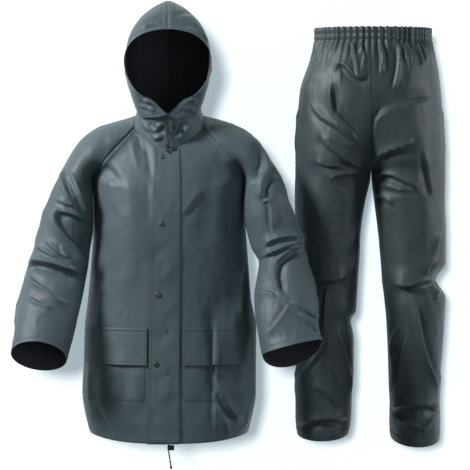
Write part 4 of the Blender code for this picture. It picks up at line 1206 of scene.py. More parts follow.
def front_grids():
    levels = cut_levels(len(TORSO) - 1, ROWS_ABOVE, ROWS_BELOW)
    middle = np.clip(across_at(levels, 0.0), -1, 1)
    halves = {}
    for side, node, seed in ((-1, "front_left", 11), (1, "front_right", 12)):
        columns = np.array([between_seams(side, centre, HALF_COLUMNS) for centre in middle])
        form = filled(torso(levels, columns, "front"), levels, 0, -1)
        kinds = ("seam", "hem", "seam", "plain")
        halves[node] = shaped(form, FRONT_INSIDE, FOLDS["torso"], TRUNK_CREASES, kinds, seed, near=0.5,
                              drapes=TRUNK_DRAPES)
    joined = (halves["front_left"][:, -1] + halves["front_right"][:, -1]) / 2
    halves["front_left"][:, -1] = joined
    halves["front_right"][:, -1] = joined
    return halves


fronts = front_grids()
for node, grid in fronts.items():
    panel(node, grid, FRONT_INSIDE, JACKET)
    stitch_beside(grid, FRONT_INSIDE, 0, -1, HEM_WIDTH)
front_grid = np.concatenate([fronts["front_left"], fronts["front_right"][:, -2::-1]], axis=1)
back_levels = cut_levels(len(TORSO) - 1, ROWS_ABOVE, BACK_ROWS_BELOW)
back_form = torso(back_levels, between_seams(-1, 1, BACK_COLUMNS), "back")
back_form = filled(filled(back_form, back_levels, 0, 1), back_levels, -1, 1)
back_kinds = ("seam", "hem", "seam", "seam")
back_grid = shaped(back_form, BACK_INSIDE, FOLDS["torso"], BACK_CREASES, back_kinds, 21)
panel("back", back_grid, BACK_INSIDE, JACKET)
stitch_beside(back_grid, BACK_INSIDE, 0, -1, HEM_WIDTH)
print("front grid", front_grid.shape, "back grid", back_grid.shape)

# %% [markdown]
# Sleeves, collar and hood. The sleeve's last 12 mm is its turned cuff, and the hood's face edge is a casing
# for the cord. Two rows of stitches run beside each raglan seam.

# %% Sleeves, collar and hood
SLEEVE_FRONT_COLUMNS = 98
SLEEVE_BACK_COLUMNS = 56
SLEEVE_ROWS = 190
SLEEVE_ROUGHNESS = 1.3
CUFF_TURN = 12.0
CUFF_RISE = 0.6
CUFF_STEP = 2.0
CUFF_LINE_WIDTH = 1.7
RAGLAN_STITCHES = (4.0, 7.5)
sleeve_turns = np.concatenate([
    np.linspace(1, 0, SLEEVE_FRONT_COLUMNS),
    np.linspace(0, -1, SLEEVE_BACK_COLUMNS)[1:],
])


def tube_middle(table, levels):
    rows = smooth(table, levels)
    middle = [(rows[:, 0] + rows[:, 2]) / 2, rows[:, 4], (rows[:, 1] + rows[:, 3]) / 2]
    return np.stack(middle, axis=-1)[:, None]


def cuff_line(grid, inside, width):
    """A turned hem at the open end: double cloth and a stitched dip."""
    away = runs_along(grid, 0)[1]
    double = CUFF_RISE * ease((width + CUFF_STEP / 2 - away) / CUFF_STEP)
    double = double - bell(away, CUFF_LINE_WIDTH, width)
    return grid + normals_of(grid, inside) * double[..., None]


for node, table, creases, drapes, seed in (
    ("sleeve_left", LEFT_SLEEVE, LEFT_SLEEVE_CREASES, LEFT_SLEEVE_DRAPES, 31),
    ("sleeve_right", RIGHT_SLEEVE, RIGHT_SLEEVE_CREASES, RIGHT_SLEEVE_DRAPES, 32),
):
    levels = cut_levels(len(table) - 1, ROWS_ABOVE, SLEEVE_ROWS)
    inside = tube_middle(table, levels)
    form = tube(table, levels, sleeve_turns)
    form = filled(filled(form, levels, 0, -1), levels, -1, 1)
    kinds = ("seam", "plain", "seam", "seam")
    drapes = also_on_back(drapes)
    grid = shaped(form, inside, FOLDS[node], creases, kinds, seed, SLEEVE_ROUGHNESS, drapes=drapes)
    grid = cuff_line(grid, inside, CUFF_TURN)
    panel(node, grid, inside, JACKET)
    stitch_beside(grid, inside, 0, -1, CUFF_TURN)
    for end in (0, -1):
        for away in RAGLAN_STITCHES:
            stitch_beside(grid[:ROWS_ABOVE], inside[:ROWS_ABOVE], 1, end, away)

COLLAR_INSIDE = (0, 0, 0)
COLLAR_ROWS = 26
COLLAR_COLUMNS = 70
COLLAR_RAISE = 0.35
collar_left, collar_right = (collar_half(side, COLLAR_ROWS, COLLAR_COLUMNS) for side in (-1, 1))
collar_form = np.concatenate([collar_left, collar_right[:, -2::-1]], axis=1) + np.array([0, 0, COLLAR_RAISE])
collar_kinds = ("plain", "seam", "plain", "plain")
collar_grid = shaped(collar_form, COLLAR_INSIDE, [], COLLAR_CREASES, collar_kinds, 41, near=0.6,
                     drapes=COLLAR_DRAPES)
panel("collar", collar_grid, COLLAR_INSIDE, JACKET)
stitch_beside(collar_grid, COLLAR_INSIDE, 0, 0, 4.0)

HOOD_INSIDE = (0, 0, 150)
HOOD_ROWS = 84
HOOD_COLUMNS = 70
HOOD_ROUGHNESS = 0.9
RIM_CASING = 16.0
RIM_STEP = 4
# Heights, widths and distances from the edge of the lines beside the face edge and the centre seam
RIM_LINES = ((0.9, 3.0, 0), (-0.8, 1.8, RIM_CASING))
CENTRE_SEAM_LINES = ((0.6, 2.5, 5), (-2.2, 2.2, 0))
NECK_PUCKER = 0.5
NECK_PUCKER_REACH = 10
HOOD_FOLD_FADE = 10
HOOD_ROUGH_FADE = 14
for side, node, seed in ((-1, "hood_left", 51), (1, "hood_right", 52)):
    form = hood_half(side, HOOD_ROWS, HOOD_COLUMNS)
    normals = normals_of(form, HOOD_INSIDE)
    normals[-1, -1] = normals[-2, -2]
    face_away = runs_along(form, 1)[0]
    seam_away, base_away = runs_along(form, 0)[1], runs_along(form, 0)[0]
    lift = lines_lift(face_away, RIM_LINES) + lines_lift(seam_away, CENTRE_SEAM_LINES)
    lift = lift + ease((RIM_CASING + RIM_STEP / 2 - face_away) / RIM_STEP)
    lift = lift + NECK_PUCKER * np.sin(face_away * 0.6 + 2) * bell(base_away, NECK_PUCKER_REACH)
    folds = crease_lift(form, normals, HOOD_CREASES) + drape_lift(form, normals, HOOD_DRAPES)
    lift = lift + folds * ease(distance_to_edges(form) / HOOD_FOLD_FADE)
    lift = lift + unevenness(form, seed, HOOD_ROUGHNESS) * ease(distance_to_edges(form) / HOOD_ROUGH_FADE)
    grid = form + normals * lift[..., None]
    outer = trimmed(grid, SEAM_GAP / 2)
    inner = outer - normals * SHELL
    for skin in (outer, inner):
        skin[..., 0] = side * np.maximum(side * skin[..., 0], SEAM_GAP / 2)
    grids[node] = outer
    place(shell(node + "_cloth", outer, inner, HOOD_INSIDE, JACKET), node)
    stitch_beside(grid[2:-1, :-1], HOOD_INSIDE, 1, 0, RIM_CASING)
    stitch_beside(grid[2:-2, :-1], HOOD_INSIDE, 0, -1, 5.0)
    stitch_beside(grid[1:-1, :-1], HOOD_INSIDE, 0, 0, 4.0)
print("stitch lines so far", len(stitch_lines))

# %% [markdown]
# The zip, its flap and the pockets are read off the front's own grid, moved out by their lift.

# %% Zip, flap and pockets
# Each grid's rows and columns, and lines beside edges by height, width and distance from the edge
ZIP_GRID = (160, 7)
FLAP_GRID = (200, 26)
POCKET_GRID = (48, 44)
POCKET_FLAP_GRID = (40, 60)
FLAP_RIGHT_LINES = ((-3.0, 2.2, 0), (-0.7, 1.6, 6))
FLAP_LEFT_LINES = ((-0.5, 1.6, 5),)
POCKET_LINES = ((0.5, 3, 0), (0.2, 2, 6))
POCKET_FLAP_TOP_LINES = ((0.75, 1.6, 4.6), (-0.9, 1.3, 8.2), (-0.9, 1.2, 1.2))
POCKET_FLAP_EDGE_LINES = ((0.5, 1.4, 4.5),)
POCKET_FLAP_TUCK = 1.2
FLAP_TOP_SHARE = 0.3 / 22
FLAP_LEFT = [(0, -28), (0.3, -36), (0.62, -44), (1, -49)]
FLAP_RIGHT = [(0, 30), (0.3, 32), (0.62, 32), (1, 30)]
FLAP_LIFT = 4.3
ZIP_LIFT = 2.0
ZIP_HALF_WIDTH = 5.0
POCKET_LIFT = 1.5
POCKET_HEIGHTS = (-520, -682)
POCKET_SPANS = {"left": (-180, -58), "right": (40, 184)}
POCKET_FLAP_HEIGHTS = (-504, -594)
POCKET_FLAP_LIFT = 4.6
POCKET_FLAP_SPANS = {"left": (-200, -52), "right": (36, 207)}
# Where a pocket flap's lower edge stands away, as share of its width, reach and height
FLAP_GAPS = {"left": [(0.66, 0.16, 3.4)], "right": [(0.32, 0.10, 3.0), (0.72, 0.06, 2.0)]}
front_normals = normals_of(front_grid, FRONT_INSIDE)


def read_grid(values, rows, columns):
    row = np.clip(rows.astype(int), 0, values.shape[0] - 2)
    column = np.clip(columns.astype(int), 0, values.shape[1] - 2)
    down, along = (rows - row)[..., None], (columns - column)[..., None]
    upper = values[row, column] * (1 - along) + values[row, column + 1] * along
    lower = values[row + 1, column] * (1 - along) + values[row + 1, column + 1] * along
    return upper * (1 - down) + lower * down


def on_front(rows, columns, lift):
    rows = np.broadcast_to(np.asarray(rows, float)[:, None], columns.shape)
    normals = unit(read_grid(front_normals, rows, columns))
    return read_grid(front_grid, rows, columns) + normals * lift[..., None]


def column_at(row, x):
    low = min(int(row), len(front_grid) - 2)
    line = front_grid[low, :, 0] * (1 - (row - low)) + front_grid[low + 1, :, 0] * (row - low)
    return np.interp(x, line, np.arange(len(line)))


def row_at(z, x):
    column = int(round(float(column_at(len(front_grid) / 2, x))))
    return np.interp(-z, -front_grid[:, column, 2], np.arange(len(front_grid)))


def strip(rows, left, right, count, lift):
    """A band down the front between two lines of x values, one pair for each row."""
    columns = []
    for row, from_x, to_x in zip(rows, left, right):
        columns.append(np.linspace(column_at(row, from_x), column_at(row, to_x), count))
    columns = np.array(columns)
    return on_front(rows, columns, np.full(columns.shape, float(lift)))


def raised(grid, lift):
    """A grid on the front, moved out by this much."""
    return grid + normals_of(grid, FRONT_INSIDE) * lift[..., None]


last_row = len(front_grid) - 1
zip_rows = np.linspace(1.0, last_row - 3, ZIP_GRID[0])
zip_edge = np.full(ZIP_GRID[0], ZIP_HALF_WIDTH)
zip_grid = strip(zip_rows, -zip_edge, zip_edge, ZIP_GRID[1], ZIP_LIFT)
panel("zip", zip_grid, FRONT_INSIDE, (cord_face, cord_face), wall=1.0)

flap_rows = np.linspace(last_row * FLAP_TOP_SHARE + 1.2, last_row, FLAP_GRID[0])
flap_sides = [np.interp(flap_rows / last_row, *zip(*line)) for line in (FLAP_LEFT, FLAP_RIGHT)]
flap_form = strip(flap_rows, *flap_sides, FLAP_GRID[1], FLAP_LIFT)
flap_kinds = ("plain", "hem", "plain", "plain")
flap_grid = shaped(flap_form, FRONT_INSIDE, [], FLAP_CREASES, flap_kinds, 61, 0.35, 0.7)
from_left, from_right = runs_along(flap_grid, 1)
flap_lines = lines_lift(from_right, FLAP_RIGHT_LINES) + lines_lift(from_left, FLAP_LEFT_LINES)
flap_grid = raised(flap_grid, flap_lines)
panel("storm_flap", flap_grid, FRONT_INSIDE, JACKET, wall=1.5)
stitch_beside(flap_grid, FRONT_INSIDE, 1, 0, 5.0)
stitch_beside(flap_grid, FRONT_INSIDE, 1, -1, 6.0)


def patch(heights, span, lift, rows, columns):
    """A patch on the front between two heights and two x values."""
    middle = sum(span) / 2
    row_places = np.linspace(row_at(heights[0], middle), row_at(heights[1], middle), rows)
    first = row_places[1]
    line = np.linspace(column_at(first, span[0]), column_at(first, span[1]), columns)
    column_places = np.tile(line, (rows, 1))
    return on_front(row_places, column_places, lift + 0 * column_places)


ALL_PLAIN = ("plain", "plain", "plain", "plain")


for name, seed in (("left", 71), ("right", 72)):
    form = patch(POCKET_HEIGHTS, POCKET_SPANS[name], POCKET_LIFT, *POCKET_GRID)
    grid = shaped(form, FRONT_INSIDE, [], [], ALL_PLAIN, seed, 0.4)
    edge = np.minimum(np.minimum(*runs_along(grid, 1)), runs_along(grid, 0)[1])
    grid = raised(grid, -lines_lift(edge, POCKET_LINES))
    panel("pocket_" + name, grid, FRONT_INSIDE, JACKET, wall=1.0)
    for axis, end in ((0, -1), (1, 0), (1, -1)):
        stitch_beside(grid, FRONT_INSIDE, axis, end, 4.0)

    down = np.linspace(0, 1, POCKET_FLAP_GRID[0])[:, None]
    share = np.linspace(0, 1, POCKET_FLAP_GRID[1])[None]
    stand = sum(height * bell(share, reach, at) for at, reach, height in FLAP_GAPS[name])
    lift = POCKET_FLAP_LIFT - POCKET_FLAP_TUCK * (1 - down) ** 4 + (POCKET_FLAP_TUCK + stand) * down**2
    form = patch(POCKET_FLAP_HEIGHTS, POCKET_FLAP_SPANS[name], lift, *POCKET_FLAP_GRID)
    grid = shaped(form, FRONT_INSIDE, [], [], ALL_PLAIN, seed + 2, 0.45)
    top, bottom = runs_along(grid, 0)
    edge = np.minimum(np.minimum(*runs_along(grid, 1)), bottom)
    edge_line = lines_lift(edge, POCKET_FLAP_EDGE_LINES) * ease(top / 20)
    grid = raised(grid, lines_lift(top, POCKET_FLAP_TOP_LINES) - edge_line)
    panel("pocket_flap_" + name, grid, FRONT_INSIDE, JACKET, wall=1.4)
    for axis, end, away in ((0, 0, 2.6), (0, 0, 8.2), (0, -1, 4.5)):
        stitch_beside(grid, FRONT_INSIDE, axis, end, away)
    for end in (0, -1):
        stitch_beside(grid[3:], FRONT_INSIDE, 1, end, 4.5)
jacket_stitches = list(stitch_lines)
stitch_lines.clear()
print("jacket stitch lines", len(jacket_stitches))

# %% [markdown]
# The trousers' legs hang from a gathered elastic casing. The gathers are uneven: their phase wanders and
# each dies out at its own length.

# %% Trousers
GATHERS = 56
CASING_TOP_Z = 245
CASING_BOTTOM_Z = 212.3
GATHER_HEIGHT = 2.6
GATHER_REACH = (26.0, 100.0)
GATHER_ROUNDNESS = 0.8
# The gathers' noise is read on a ring of this radius, by sizes for their phase, strength and reach
NOISE_RING = 40
PHASE_SIZES = (9, 9, 9)
STRENGTH_SIZES = (4, 4, 4)
REACH_SIZES = (3.2, 3.2, 3.2)
HEM_TURN = 20.0
# Each half of a leg: its name, its last turn, its rows below the waist and its columns
LEG_HALVES = (("front", 1.0, 206, 112), ("back", -1.0, 90, 72))
LEG_WAIST_ROWS = 50
LEG_WAIST_LEVEL = 2
CASING_ROWS = 14
POINTS_PER_GATHER = 14
WAIST_MIDDLE = ((LEFT_LEG[0].outer_x + RIGHT_LEG[0].outer_x) / 2, LEFT_LEG[0].middle_y)
WAIST_HALF = ((RIGHT_LEG[0].outer_x - LEFT_LEG[0].outer_x) / 2, LEFT_LEG[0].half_depth)


def gathers(points, drop):
    """The gathers' height at these points, this far below the casing, by the angle round the waist."""
    east = (points[..., 0] - WAIST_MIDDLE[0]) / WAIST_HALF[0]
    north = (points[..., 1] - WAIST_MIDDLE[1]) / WAIST_HALF[1]
    angle = np.arctan2(north, east)
    ring = np.stack([np.cos(angle) * NOISE_RING, np.sin(angle) * NOISE_RING, 0 * angle], axis=-1)
    phase = GATHERS * angle + 2.6 * noise(ring, PHASE_SIZES, 81)
    strength = 0.75 + 0.45 * noise(ring + 500, STRENGTH_SIZES, 82)
    longer = ease(0.5 + 0.9 * noise(ring + 200, REACH_SIZES, 83))
    reach = GATHER_REACH[0] + (GATHER_REACH[1] - GATHER_REACH[0]) * longer
    wave = np.cos(phase)
    wave = np.sign(wave) * np.abs(wave) ** GATHER_ROUNDNESS
    return GATHER_HEIGHT * strength * wave * ease(1 - drop / reach) ** GATHER_ROUNDNESS


for name, table, creases, drapes, seed in (
    ("leg_left", LEFT_LEG, LEFT_LEG_CREASES, LEFT_LEG_DRAPES, 91),
    ("leg_right", RIGHT_LEG, RIGHT_LEG_CREASES, RIGHT_LEG_DRAPES, 92),
):
    for face, end, rows, columns in LEG_HALVES:
        at_waist = np.linspace(0, LEG_WAIST_LEVEL, LEG_WAIST_ROWS)
        levels = np.concatenate([at_waist, np.linspace(LEG_WAIST_LEVEL, len(table) - 1, rows)[1:]])
        inside = tube_middle(table, levels)
        form = tube(table, levels, np.linspace(0, end, columns))
        kinds = ("plain", "plain", "seam", "seam")
        grid = shaped(form, inside, FOLDS[name], creases, kinds, seed, drapes=also_on_back(drapes))
        drop = CASING_BOTTOM_Z - grid[..., 2]
        grid = grid + normals_of(grid, inside) * gathers(form, drop)[..., None]
        grid = cuff_line(grid, inside, HEM_TURN)
        panel(f"{name}_{face}", grid, inside, TROUSERS)
        stitch_beside(grid, inside, 0, -1, HEM_TURN)
        stitch_beside(grid[:-8], inside[:-8], 1, -1, 5.0)


def casing_grid(count, rows, inset, waves):
    """The casing: two swellings over the elastic's rows, gathered deepest at its stitched lines."""
    angle = np.linspace(0, 2 * math.pi, count, endpoint=False)[None, :]
    down = np.linspace(0, 1, rows)[:, None]
    z = CASING_TOP_Z + (CASING_BOTTOM_Z - CASING_TOP_Z) * down
    swell = 1.6 * np.abs(np.sin(2 * math.pi * down)) - 1.0
    at = np.stack([
        WAIST_MIDDLE[0] + WAIST_HALF[0] * np.cos(angle) + 0 * z,
        WAIST_MIDDLE[1] + WAIST_HALF[1] * np.sin(angle) + 0 * z,
        z + 0 * angle,
    ], axis=-1)
    wave = gathers(at, 0 * at[..., 2]) * waves
    reach = swell - inset + wave
    at[..., 0] += reach * np.cos(angle)
    at[..., 1] += reach * np.sin(angle)
    at[..., 2] += wave * 0.55 * np.cos(math.pi * down) * (1 - 2 * down * (down > 0.5))
    return at


WAIST_INSIDE = (WAIST_MIDDLE[0], WAIST_MIDDLE[1], 228)
casing_outer = casing_grid(GATHERS * POINTS_PER_GATHER, CASING_ROWS, 0.4, 0.8)
casing_inner = casing_grid(GATHERS * POINTS_PER_GATHER, CASING_ROWS, 4.0, 0.5)
grids["waist_casing"] = np.concatenate([casing_outer, casing_outer[:, :1]], axis=1)
casing = shell("waist_casing_cloth", casing_outer, casing_inner, WAIST_INSIDE, TROUSERS, closed=True)
place(casing, "waist_casing")
trouser_stitches = list(stitch_lines)
stitch_lines.clear()
print("casing points", casing_outer.shape)

# %% [markdown]
# Studs, cord locks and the knob are turned finely and stand for the CAD's plain ones, at the same places.

# %% Studs, locks and cords
STUD_PLACES = [(-14, -86), (-15, -247), (-23, -423), (-29, -593)]
STUD_SINK = 1.4
STUD_PROFILE = [
    (0, 2.9), (2.4, 2.8), (3.4, 2.3), (3.9, 2.1), (4.4, 2.4), (5.6, 2.2), (6.6, 1.4), (7.0, 0.5), (7.0, 0),
    (0, 0),
]
LOCK_PROFILE = [
    (2.35, 6), (3.9, 6), (4.7, 5.2), (5.2, 3.4), (4.9, 1.2), (4.9, -1.2), (5.2, -3.4), (4.7, -5.2), (3.9, -6),
    (2.35, -6), (2.35, 6),
]
CORD_RADIUS = 1.75
KNOB_PROFILE = [(0, 4), (1.9, 4), (2.5, 3), (3.0, 0.5), (2.7, -2), (2.1, -4), (0, -4)]


def turned(name, profile, steps=40):
    """A solid turned round Z from (radius, height) points, listed top to bottom."""
    mesh = bpy.data.meshes.new(name)
    work = bmesh.new()
    line = [work.verts.new((radius * MM, 0, height * MM)) for radius, height in profile]
    edges = [work.edges.new(pair) for pair in zip(line, line[1:])]
    bmesh.ops.spin(work, geom=line + edges, cent=(0, 0, 0), axis=(0, 0, 1), angle=2 * math.pi, steps=steps)
    bmesh.ops.remove_doubles(work, verts=work.verts, dist=1e-6)
    bmesh.ops.recalc_face_normals(work, faces=work.faces)
    work.to_mesh(mesh)
    work.free()
    mesh.shade_smooth()
    mesh.set_sharp_from_angle(angle=math.radians(40))
    return add_object(name, mesh)


def turn_to(obj, direction, at, material):
    """Points the mesh's own Z along a direction at a place in millimetres. The object stays at the origin."""
    turn = Vector(direction).to_track_quat("Z", "Y").to_matrix().to_4x4()
    turn.translation = Vector([float(value) * MM for value in at])
    obj.data.transform(turn)
    obj.data.materials.append(material)
    return obj


def middle_of(node):
    """The middle of a CAD node's box, in millimetres."""
    low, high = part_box(node)
    return (np.array(low) + np.array(high)) / 2 / MM


for number, (x, z) in enumerate(STUD_PLACES, 1):
    row = row_at(z, x)
    column = float(column_at(row, x))
    normal = unit(read_grid(front_normals, np.array([[row]]), np.array([[column]])))[0, 0]
    stud = turned(f"stud_{number}_cap", STUD_PROFILE)
    seat = middle_of(f"stud_{number}") - normal * STUD_SINK
    place(turn_to(stud, normal, seat, cap_face), f"stud_{number}")


def route_points(route):
    return smooth(route, np.linspace(0, len(route) - 1, 8 * (len(route) - 1) + 1))


def cord_piece(name, node, route):
    curve = bpy.data.curves.new(name, "CURVE")
    curve.dimensions = "3D"
    curve.bevel_depth = CORD_RADIUS * MM
    curve.bevel_resolution = 4
    curve.use_fill_caps = True
    points = route_points(route)
    spline = curve.splines.new("POLY")
    spline.points.add(len(points) - 1)
    for spot, point in zip(spline.points, points):
        spot.co = (*(float(value) * MM for value in point), 1.0)
    curve.materials.append(cord_face)
    length = float(np.linalg.norm(np.diff(points, axis=0), axis=1).sum()) * MM
    return place(add_object(name, curve), node), length


def lock_on(name, node, above, below):
    """A barrel lock on a cord, midway between two of its route's points."""
    return place(turn_to(turned(name, LOCK_PROFILE), above - below, (above + below) / 2, lock_face), node)


left_route, right_route, hem_route = (
    np.array(route, float) for route in (HOOD_CORD_LEFT, HOOD_CORD_RIGHT, HEM_CORD)
)
left_cord, left_length = cord_piece("hood_cord_left_braid", "hood_cord_left", HOOD_CORD_LEFT)
right_cord, right_length = cord_piece("hood_cord_right_braid", "hood_cord_right", HOOD_CORD_RIGHT)
hem_cord, hem_length = cord_piece("hem_cord_braid", "hem_cord", HEM_CORD)
left_lock = lock_on("hood_lock_left_barrel", "hood_lock_left", left_route[4], left_route[5])
right_lock = lock_on("hood_lock_right_barrel", "hood_lock_right", right_route[2], right_route[3])
hem_knob = turned("hem_knob_end", KNOB_PROFILE)
place(turn_to(hem_knob, hem_route[-2] - hem_route[-1], middle_of("hem_knob"), lock_face), "hem_knob")
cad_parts["hem_lock"].material_slots[0].material = lock_face


print("cord lengths", round(left_length, 4), round(right_length, 4), round(hem_length, 4))


# %% [markdown]
# Threads and zip teeth repeat along lines, so one Geometry Nodes tree places them: it walks a line at a
# named pitch and sets a small block at each step.

# %% Stitches and zip teeth
def repeat_tree():
    tree = bpy.data.node_groups.new("repeat_on_lines", "GeometryNodeTree")
    faces = tree.interface
    faces.new_socket("Lines", in_out="INPUT", socket_type="NodeSocketGeometry")
    for name, value in (("Pitch", 0.004), ("Long", 0.002), ("Wide", 0.0006), ("High", 0.0004)):
        socket = faces.new_socket(name, in_out="INPUT", socket_type="NodeSocketFloat")
        socket.default_value = value
    faces.new_socket("Finish", in_out="INPUT", socket_type="NodeSocketMaterial")
    faces.new_socket("Pieces", in_out="OUTPUT", socket_type="NodeSocketGeometry")
    nodes, links = tree.nodes, tree.links
    enter, leave = nodes.new("NodeGroupInput"), nodes.new("NodeGroupOutput")
    curve = nodes.new("GeometryNodeMeshToCurve")
    places = nodes.new("GeometryNodeCurveToPoints")
    places.mode = "LENGTH"
    size = nodes.new("ShaderNodeCombineXYZ")
    block = nodes.new("GeometryNodeMeshCube")
    copies = nodes.new("GeometryNodeInstanceOnPoints")
    real = nodes.new("GeometryNodeRealizeInstances")
    finish = nodes.new("GeometryNodeSetMaterial")
    wire(
        links,
        (enter, "Lines", curve, "Mesh"),
        (curve, "Curve", places, "Curve"),
        (enter, "Pitch", places, "Length"),
        (enter, "Wide", size, "X"),
        (enter, "High", size, "Y"),
        (enter, "Long", size, "Z"),
        (size, "Vector", block, "Size"),
        (places, "Points", copies, "Points"),
        (places, "Rotation", copies, "Rotation"),
        (block, "Mesh", copies, "Instance"),
        (copies, "Instances", real, "Geometry"),
        (real, "Geometry", finish, "Geometry"),
        (enter, "Finish", finish, "Material"),
        (finish, "Geometry", leave, "Pieces"),
    )
    return tree


REPEAT = repeat_tree()


def repeated(name, lines, pitch, size, finish):
    """Blocks of a size (long, wide, high) in mm along lines, as one plain mesh."""
    points = np.concatenate(lines) * MM
    starts = np.cumsum([0] + [len(line) for line in lines])
    edges = [(k, k + 1) for a, b in zip(starts, starts[1:]) for k in range(a, b - 1)]
    guide = bpy.data.meshes.new(name + "_lines")
    guide.from_pydata(points.tolist(), edges, [])
    maker = add_object(name + "_maker", guide)
    modifier = maker.modifiers.new("repeat", "NODES")
    modifier.node_group = REPEAT
    long, wide, high = (value * MM for value in size)
    values = {"Pitch": pitch * MM, "Long": long, "Wide": wide, "High": high, "Finish": finish}
    for socket in REPEAT.interface.items_tree:
        if socket.name in values:
            modifier[socket.identifier] = values[socket.name]
    bpy.context.view_layer.update()
    made = maker.evaluated_get(bpy.context.evaluated_depsgraph_get())
    mesh = bpy.data.meshes.new_from_object(made)
    bpy.data.objects.remove(maker)
    obj = add_object(name, mesh)
    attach(obj, "root")
    print(name, len(mesh.polygons), "faces")
    return obj


repeated("jacket_threads", jacket_stitches, 4.2, (2.7, 0.75, 0.35), thread_face)
repeated("trouser_threads", trouser_stitches, 4.4, (2.8, 0.75, 0.35), dark_thread_face)
middle_column = ZIP_GRID[1] // 2
zip_middle = zip_grid[:, middle_column] + normals_of(zip_grid, FRONT_INSIDE)[:, middle_column] * 0.5
repeated("zip_teeth", [zip_middle], 1.9, (1.1, 4.6, 1.2), tooth_face)

# %% [markdown]
# A table lists every cloth piece's cut: the sizes a maker would lay flat, in metres and square metres, and
# what it hangs from. What is measured on each piece's grid is printed.

# %% Cut sizes and what each piece hangs from
Cut = namedtuple("Cut", "node wide long area hangs_from")
CUTS = [
    Cut("front_left", 0.285, 0.835, 0.192, ["sleeve_left_cloth", "collar_cloth"]),
    Cut("front_right", 0.297, 0.835, 0.199, ["sleeve_right_cloth", "collar_cloth"]),
    Cut("back", 0.560, 0.860, 0.393, ["sleeve_left_cloth", "sleeve_right_cloth", "collar_cloth"]),
    Cut("sleeve_left", 0.450, 0.780, 0.264, ["collar_cloth", "back_cloth", "front_left_cloth"]),
    Cut("sleeve_right", 0.445, 0.765, 0.256, ["collar_cloth", "back_cloth", "front_right_cloth"]),
    Cut("collar", 0.636, 0.080, 0.028, ["sleeve_left_cloth", "sleeve_right_cloth", "back_cloth"]),
    Cut("hood_left", 0.300, 0.335, 0.085, ["collar_cloth", "hood_right_cloth"]),
    Cut("hood_right", 0.300, 0.335, 0.085, ["collar_cloth", "hood_left_cloth"]),
    Cut("zip", 0.010, 0.725, None, ["front_left_cloth", "front_right_cloth"]),
    Cut("storm_flap", 0.081, 0.735, 0.054, ["front_right_cloth"]),
    Cut("pocket_left", 0.143, 0.164, None, ["front_left_cloth"]),
    Cut("pocket_right", 0.163, 0.164, None, ["front_right_cloth"]),
    Cut("pocket_flap_left", 0.187, 0.092, None, ["front_left_cloth"]),
    Cut("pocket_flap_right", 0.212, 0.092, None, ["front_right_cloth"]),
    Cut("leg_left_front", 0.330, 1.065, 0.264, ["waist_casing_cloth", "leg_left_back_cloth"]),
    Cut("leg_left_back", 0.330, 1.060, 0.257, ["waist_casing_cloth", "leg_left_front_cloth"]),
    Cut("leg_right_front", 0.320, 1.075, 0.267, ["waist_casing_cloth", "leg_right_back_cloth"]),
    Cut("leg_right_back", 0.325, 1.065, 0.259, ["waist_casing_cloth", "leg_right_front_cloth"]),
    Cut("waist_casing", 0.940, 0.033, None, ["leg_left_front_cloth", "leg_right_front_cloth"]),
]


def measured(grid):
    """Widest row, longest column and area of a grid, in metres."""
    across = np.linalg.norm(np.diff(grid, axis=1), axis=-1).sum(axis=1).max() * MM
    down = np.linalg.norm(np.diff(grid, axis=0), axis=-1).sum(axis=0).max() * MM
    cross = np.cross(grid[1:, :-1] - grid[:-1, :-1], grid[:-1, 1:] - grid[:-1, :-1])
    return across, down, np.linalg.norm(cross, axis=-1).sum() * MM * MM


for cut in CUTS:
    print(cut.node, "measures %.3f x %.3f m, %.4f m2" % measured(grids[cut.node]))

# %% [markdown]
# A white studio: a wall close behind the suit takes its soft shadow. A large key lamp stands at the upper
# left, a weak fill lamp in front, and a rim lamp at the right lights the folds' far sides. They light all but
# the wall. A weak sun lights only the wall and throws the shadow on it.

# %% Studio and lights
WALL_Y = 0.24
WALL_HALF = 1.6
WALL_GLOW = (0.29, 0.37, 0.40)
world = bpy.data.worlds.new("world")
world.use_nodes = True
background = world.node_tree.nodes["Background"]
background.inputs["Color"].default_value = (0.93, 0.97, 1.0, 1)
background.inputs["Strength"].default_value = 0.16
bpy.context.scene.world = world
bpy.context.scene.view_settings.view_transform = "Standard"


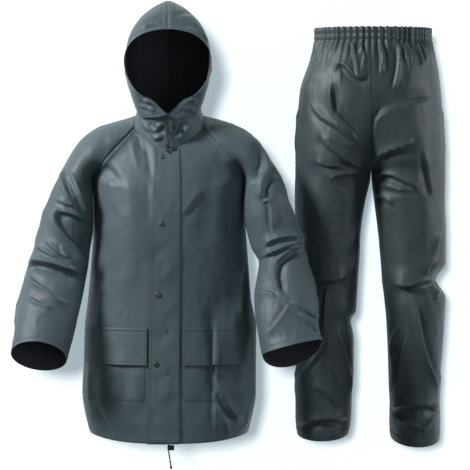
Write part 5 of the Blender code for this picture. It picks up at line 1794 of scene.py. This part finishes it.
def wall_material():
    """White, lit by itself just below clipping so that a shadow still shows, and clear from behind."""
    material = bpy.data.materials.new("studio_wall")
    material.use_nodes = True
    nodes, links = material.node_tree.nodes, material.node_tree.links
    nodes.clear()
    diffuse = nodes.new("ShaderNodeBsdfDiffuse")
    diffuse.inputs["Color"].default_value = (0.8, 0.8, 0.8, 1)
    glow = nodes.new("ShaderNodeEmission")
    glow.inputs["Color"].default_value = (*WALL_GLOW, 1)
    glow.inputs["Strength"].default_value = 1.0
    add = nodes.new("ShaderNodeAddShader")
    clear = nodes.new("ShaderNodeBsdfTransparent")
    mix = nodes.new("ShaderNodeMixShader")
    geometry = nodes.new("ShaderNodeNewGeometry")
    out = nodes.new("ShaderNodeOutputMaterial")
    wire(
        links,
        (diffuse, "BSDF", add, 0),
        (glow, "Emission", add, 1),
        (geometry, "Backfacing", mix, "Fac"),
        (add, "Shader", mix, 1),
        (clear, "BSDF", mix, 2),
        (mix, "Shader", out, "Surface"),
    )
    return material


wall = bpy.data.meshes.new("wall")
wall_corners = [
    (VIEW_MIDDLE[0] + x * WALL_HALF, WALL_Y, VIEW_MIDDLE[1] + z * WALL_HALF)
    for x, z in ((-1, -1), (1, -1), (1, 1), (-1, 1))
]
wall.from_pydata(wall_corners, [], [(0, 1, 2, 3)])
wall.materials.append(wall_material())
wall_object = add_object("wall", wall)


def lamp(name, kind, at, look_at, energy, size, colour):
    data = bpy.data.lights.new(name, kind)
    data.energy = energy
    data.color = colour
    if kind == "SUN":
        data.angle = math.radians(size)
    else:
        data.shape = "DISK"
        data.size = size
    obj = add_object(name, data)
    obj.location = at
    obj.rotation_euler = (Vector(look_at) - Vector(at)).to_track_quat("-Z", "Y").to_euler()
    return obj


def link_light(light, name, state):
    """Lets a lamp light only the wall, or everything but the wall."""
    group = bpy.data.collections.new(name)
    group.objects.link(wall_object)
    light.light_linking.receiver_collection = group
    group.collection_objects[0].light_linking.link_state = state


key = lamp("key", "AREA", (-2.4, -1.45, 1.7), (0.1, 0, -0.2), 150, 0.9, (1.0, 0.99, 0.975))
fill = lamp("fill", "AREA", (1.6, -3.8, -0.4), (0.16, 0, -0.3), 13, 2.0, (0.92, 0.97, 1.0))
rim = lamp("rim", "AREA", (2.5, -0.3, 0.2), (0.45, 0.05, -0.3), 16, 0.7, (0.94, 0.98, 1.0))
shade = lamp("shade", "SUN", (0, -3, 0), (0.33, 0, -0.255), 2.4, 7, (1.0, 1.0, 1.0))
link_light(key, "not_on_the_wall", "EXCLUDE")
link_light(fill, "nor_on_the_wall", "EXCLUDE")
link_light(rim, "not_the_wall_either", "EXCLUDE")
link_light(shade, "only_on_the_wall", "INCLUDE")
print("lamps set")
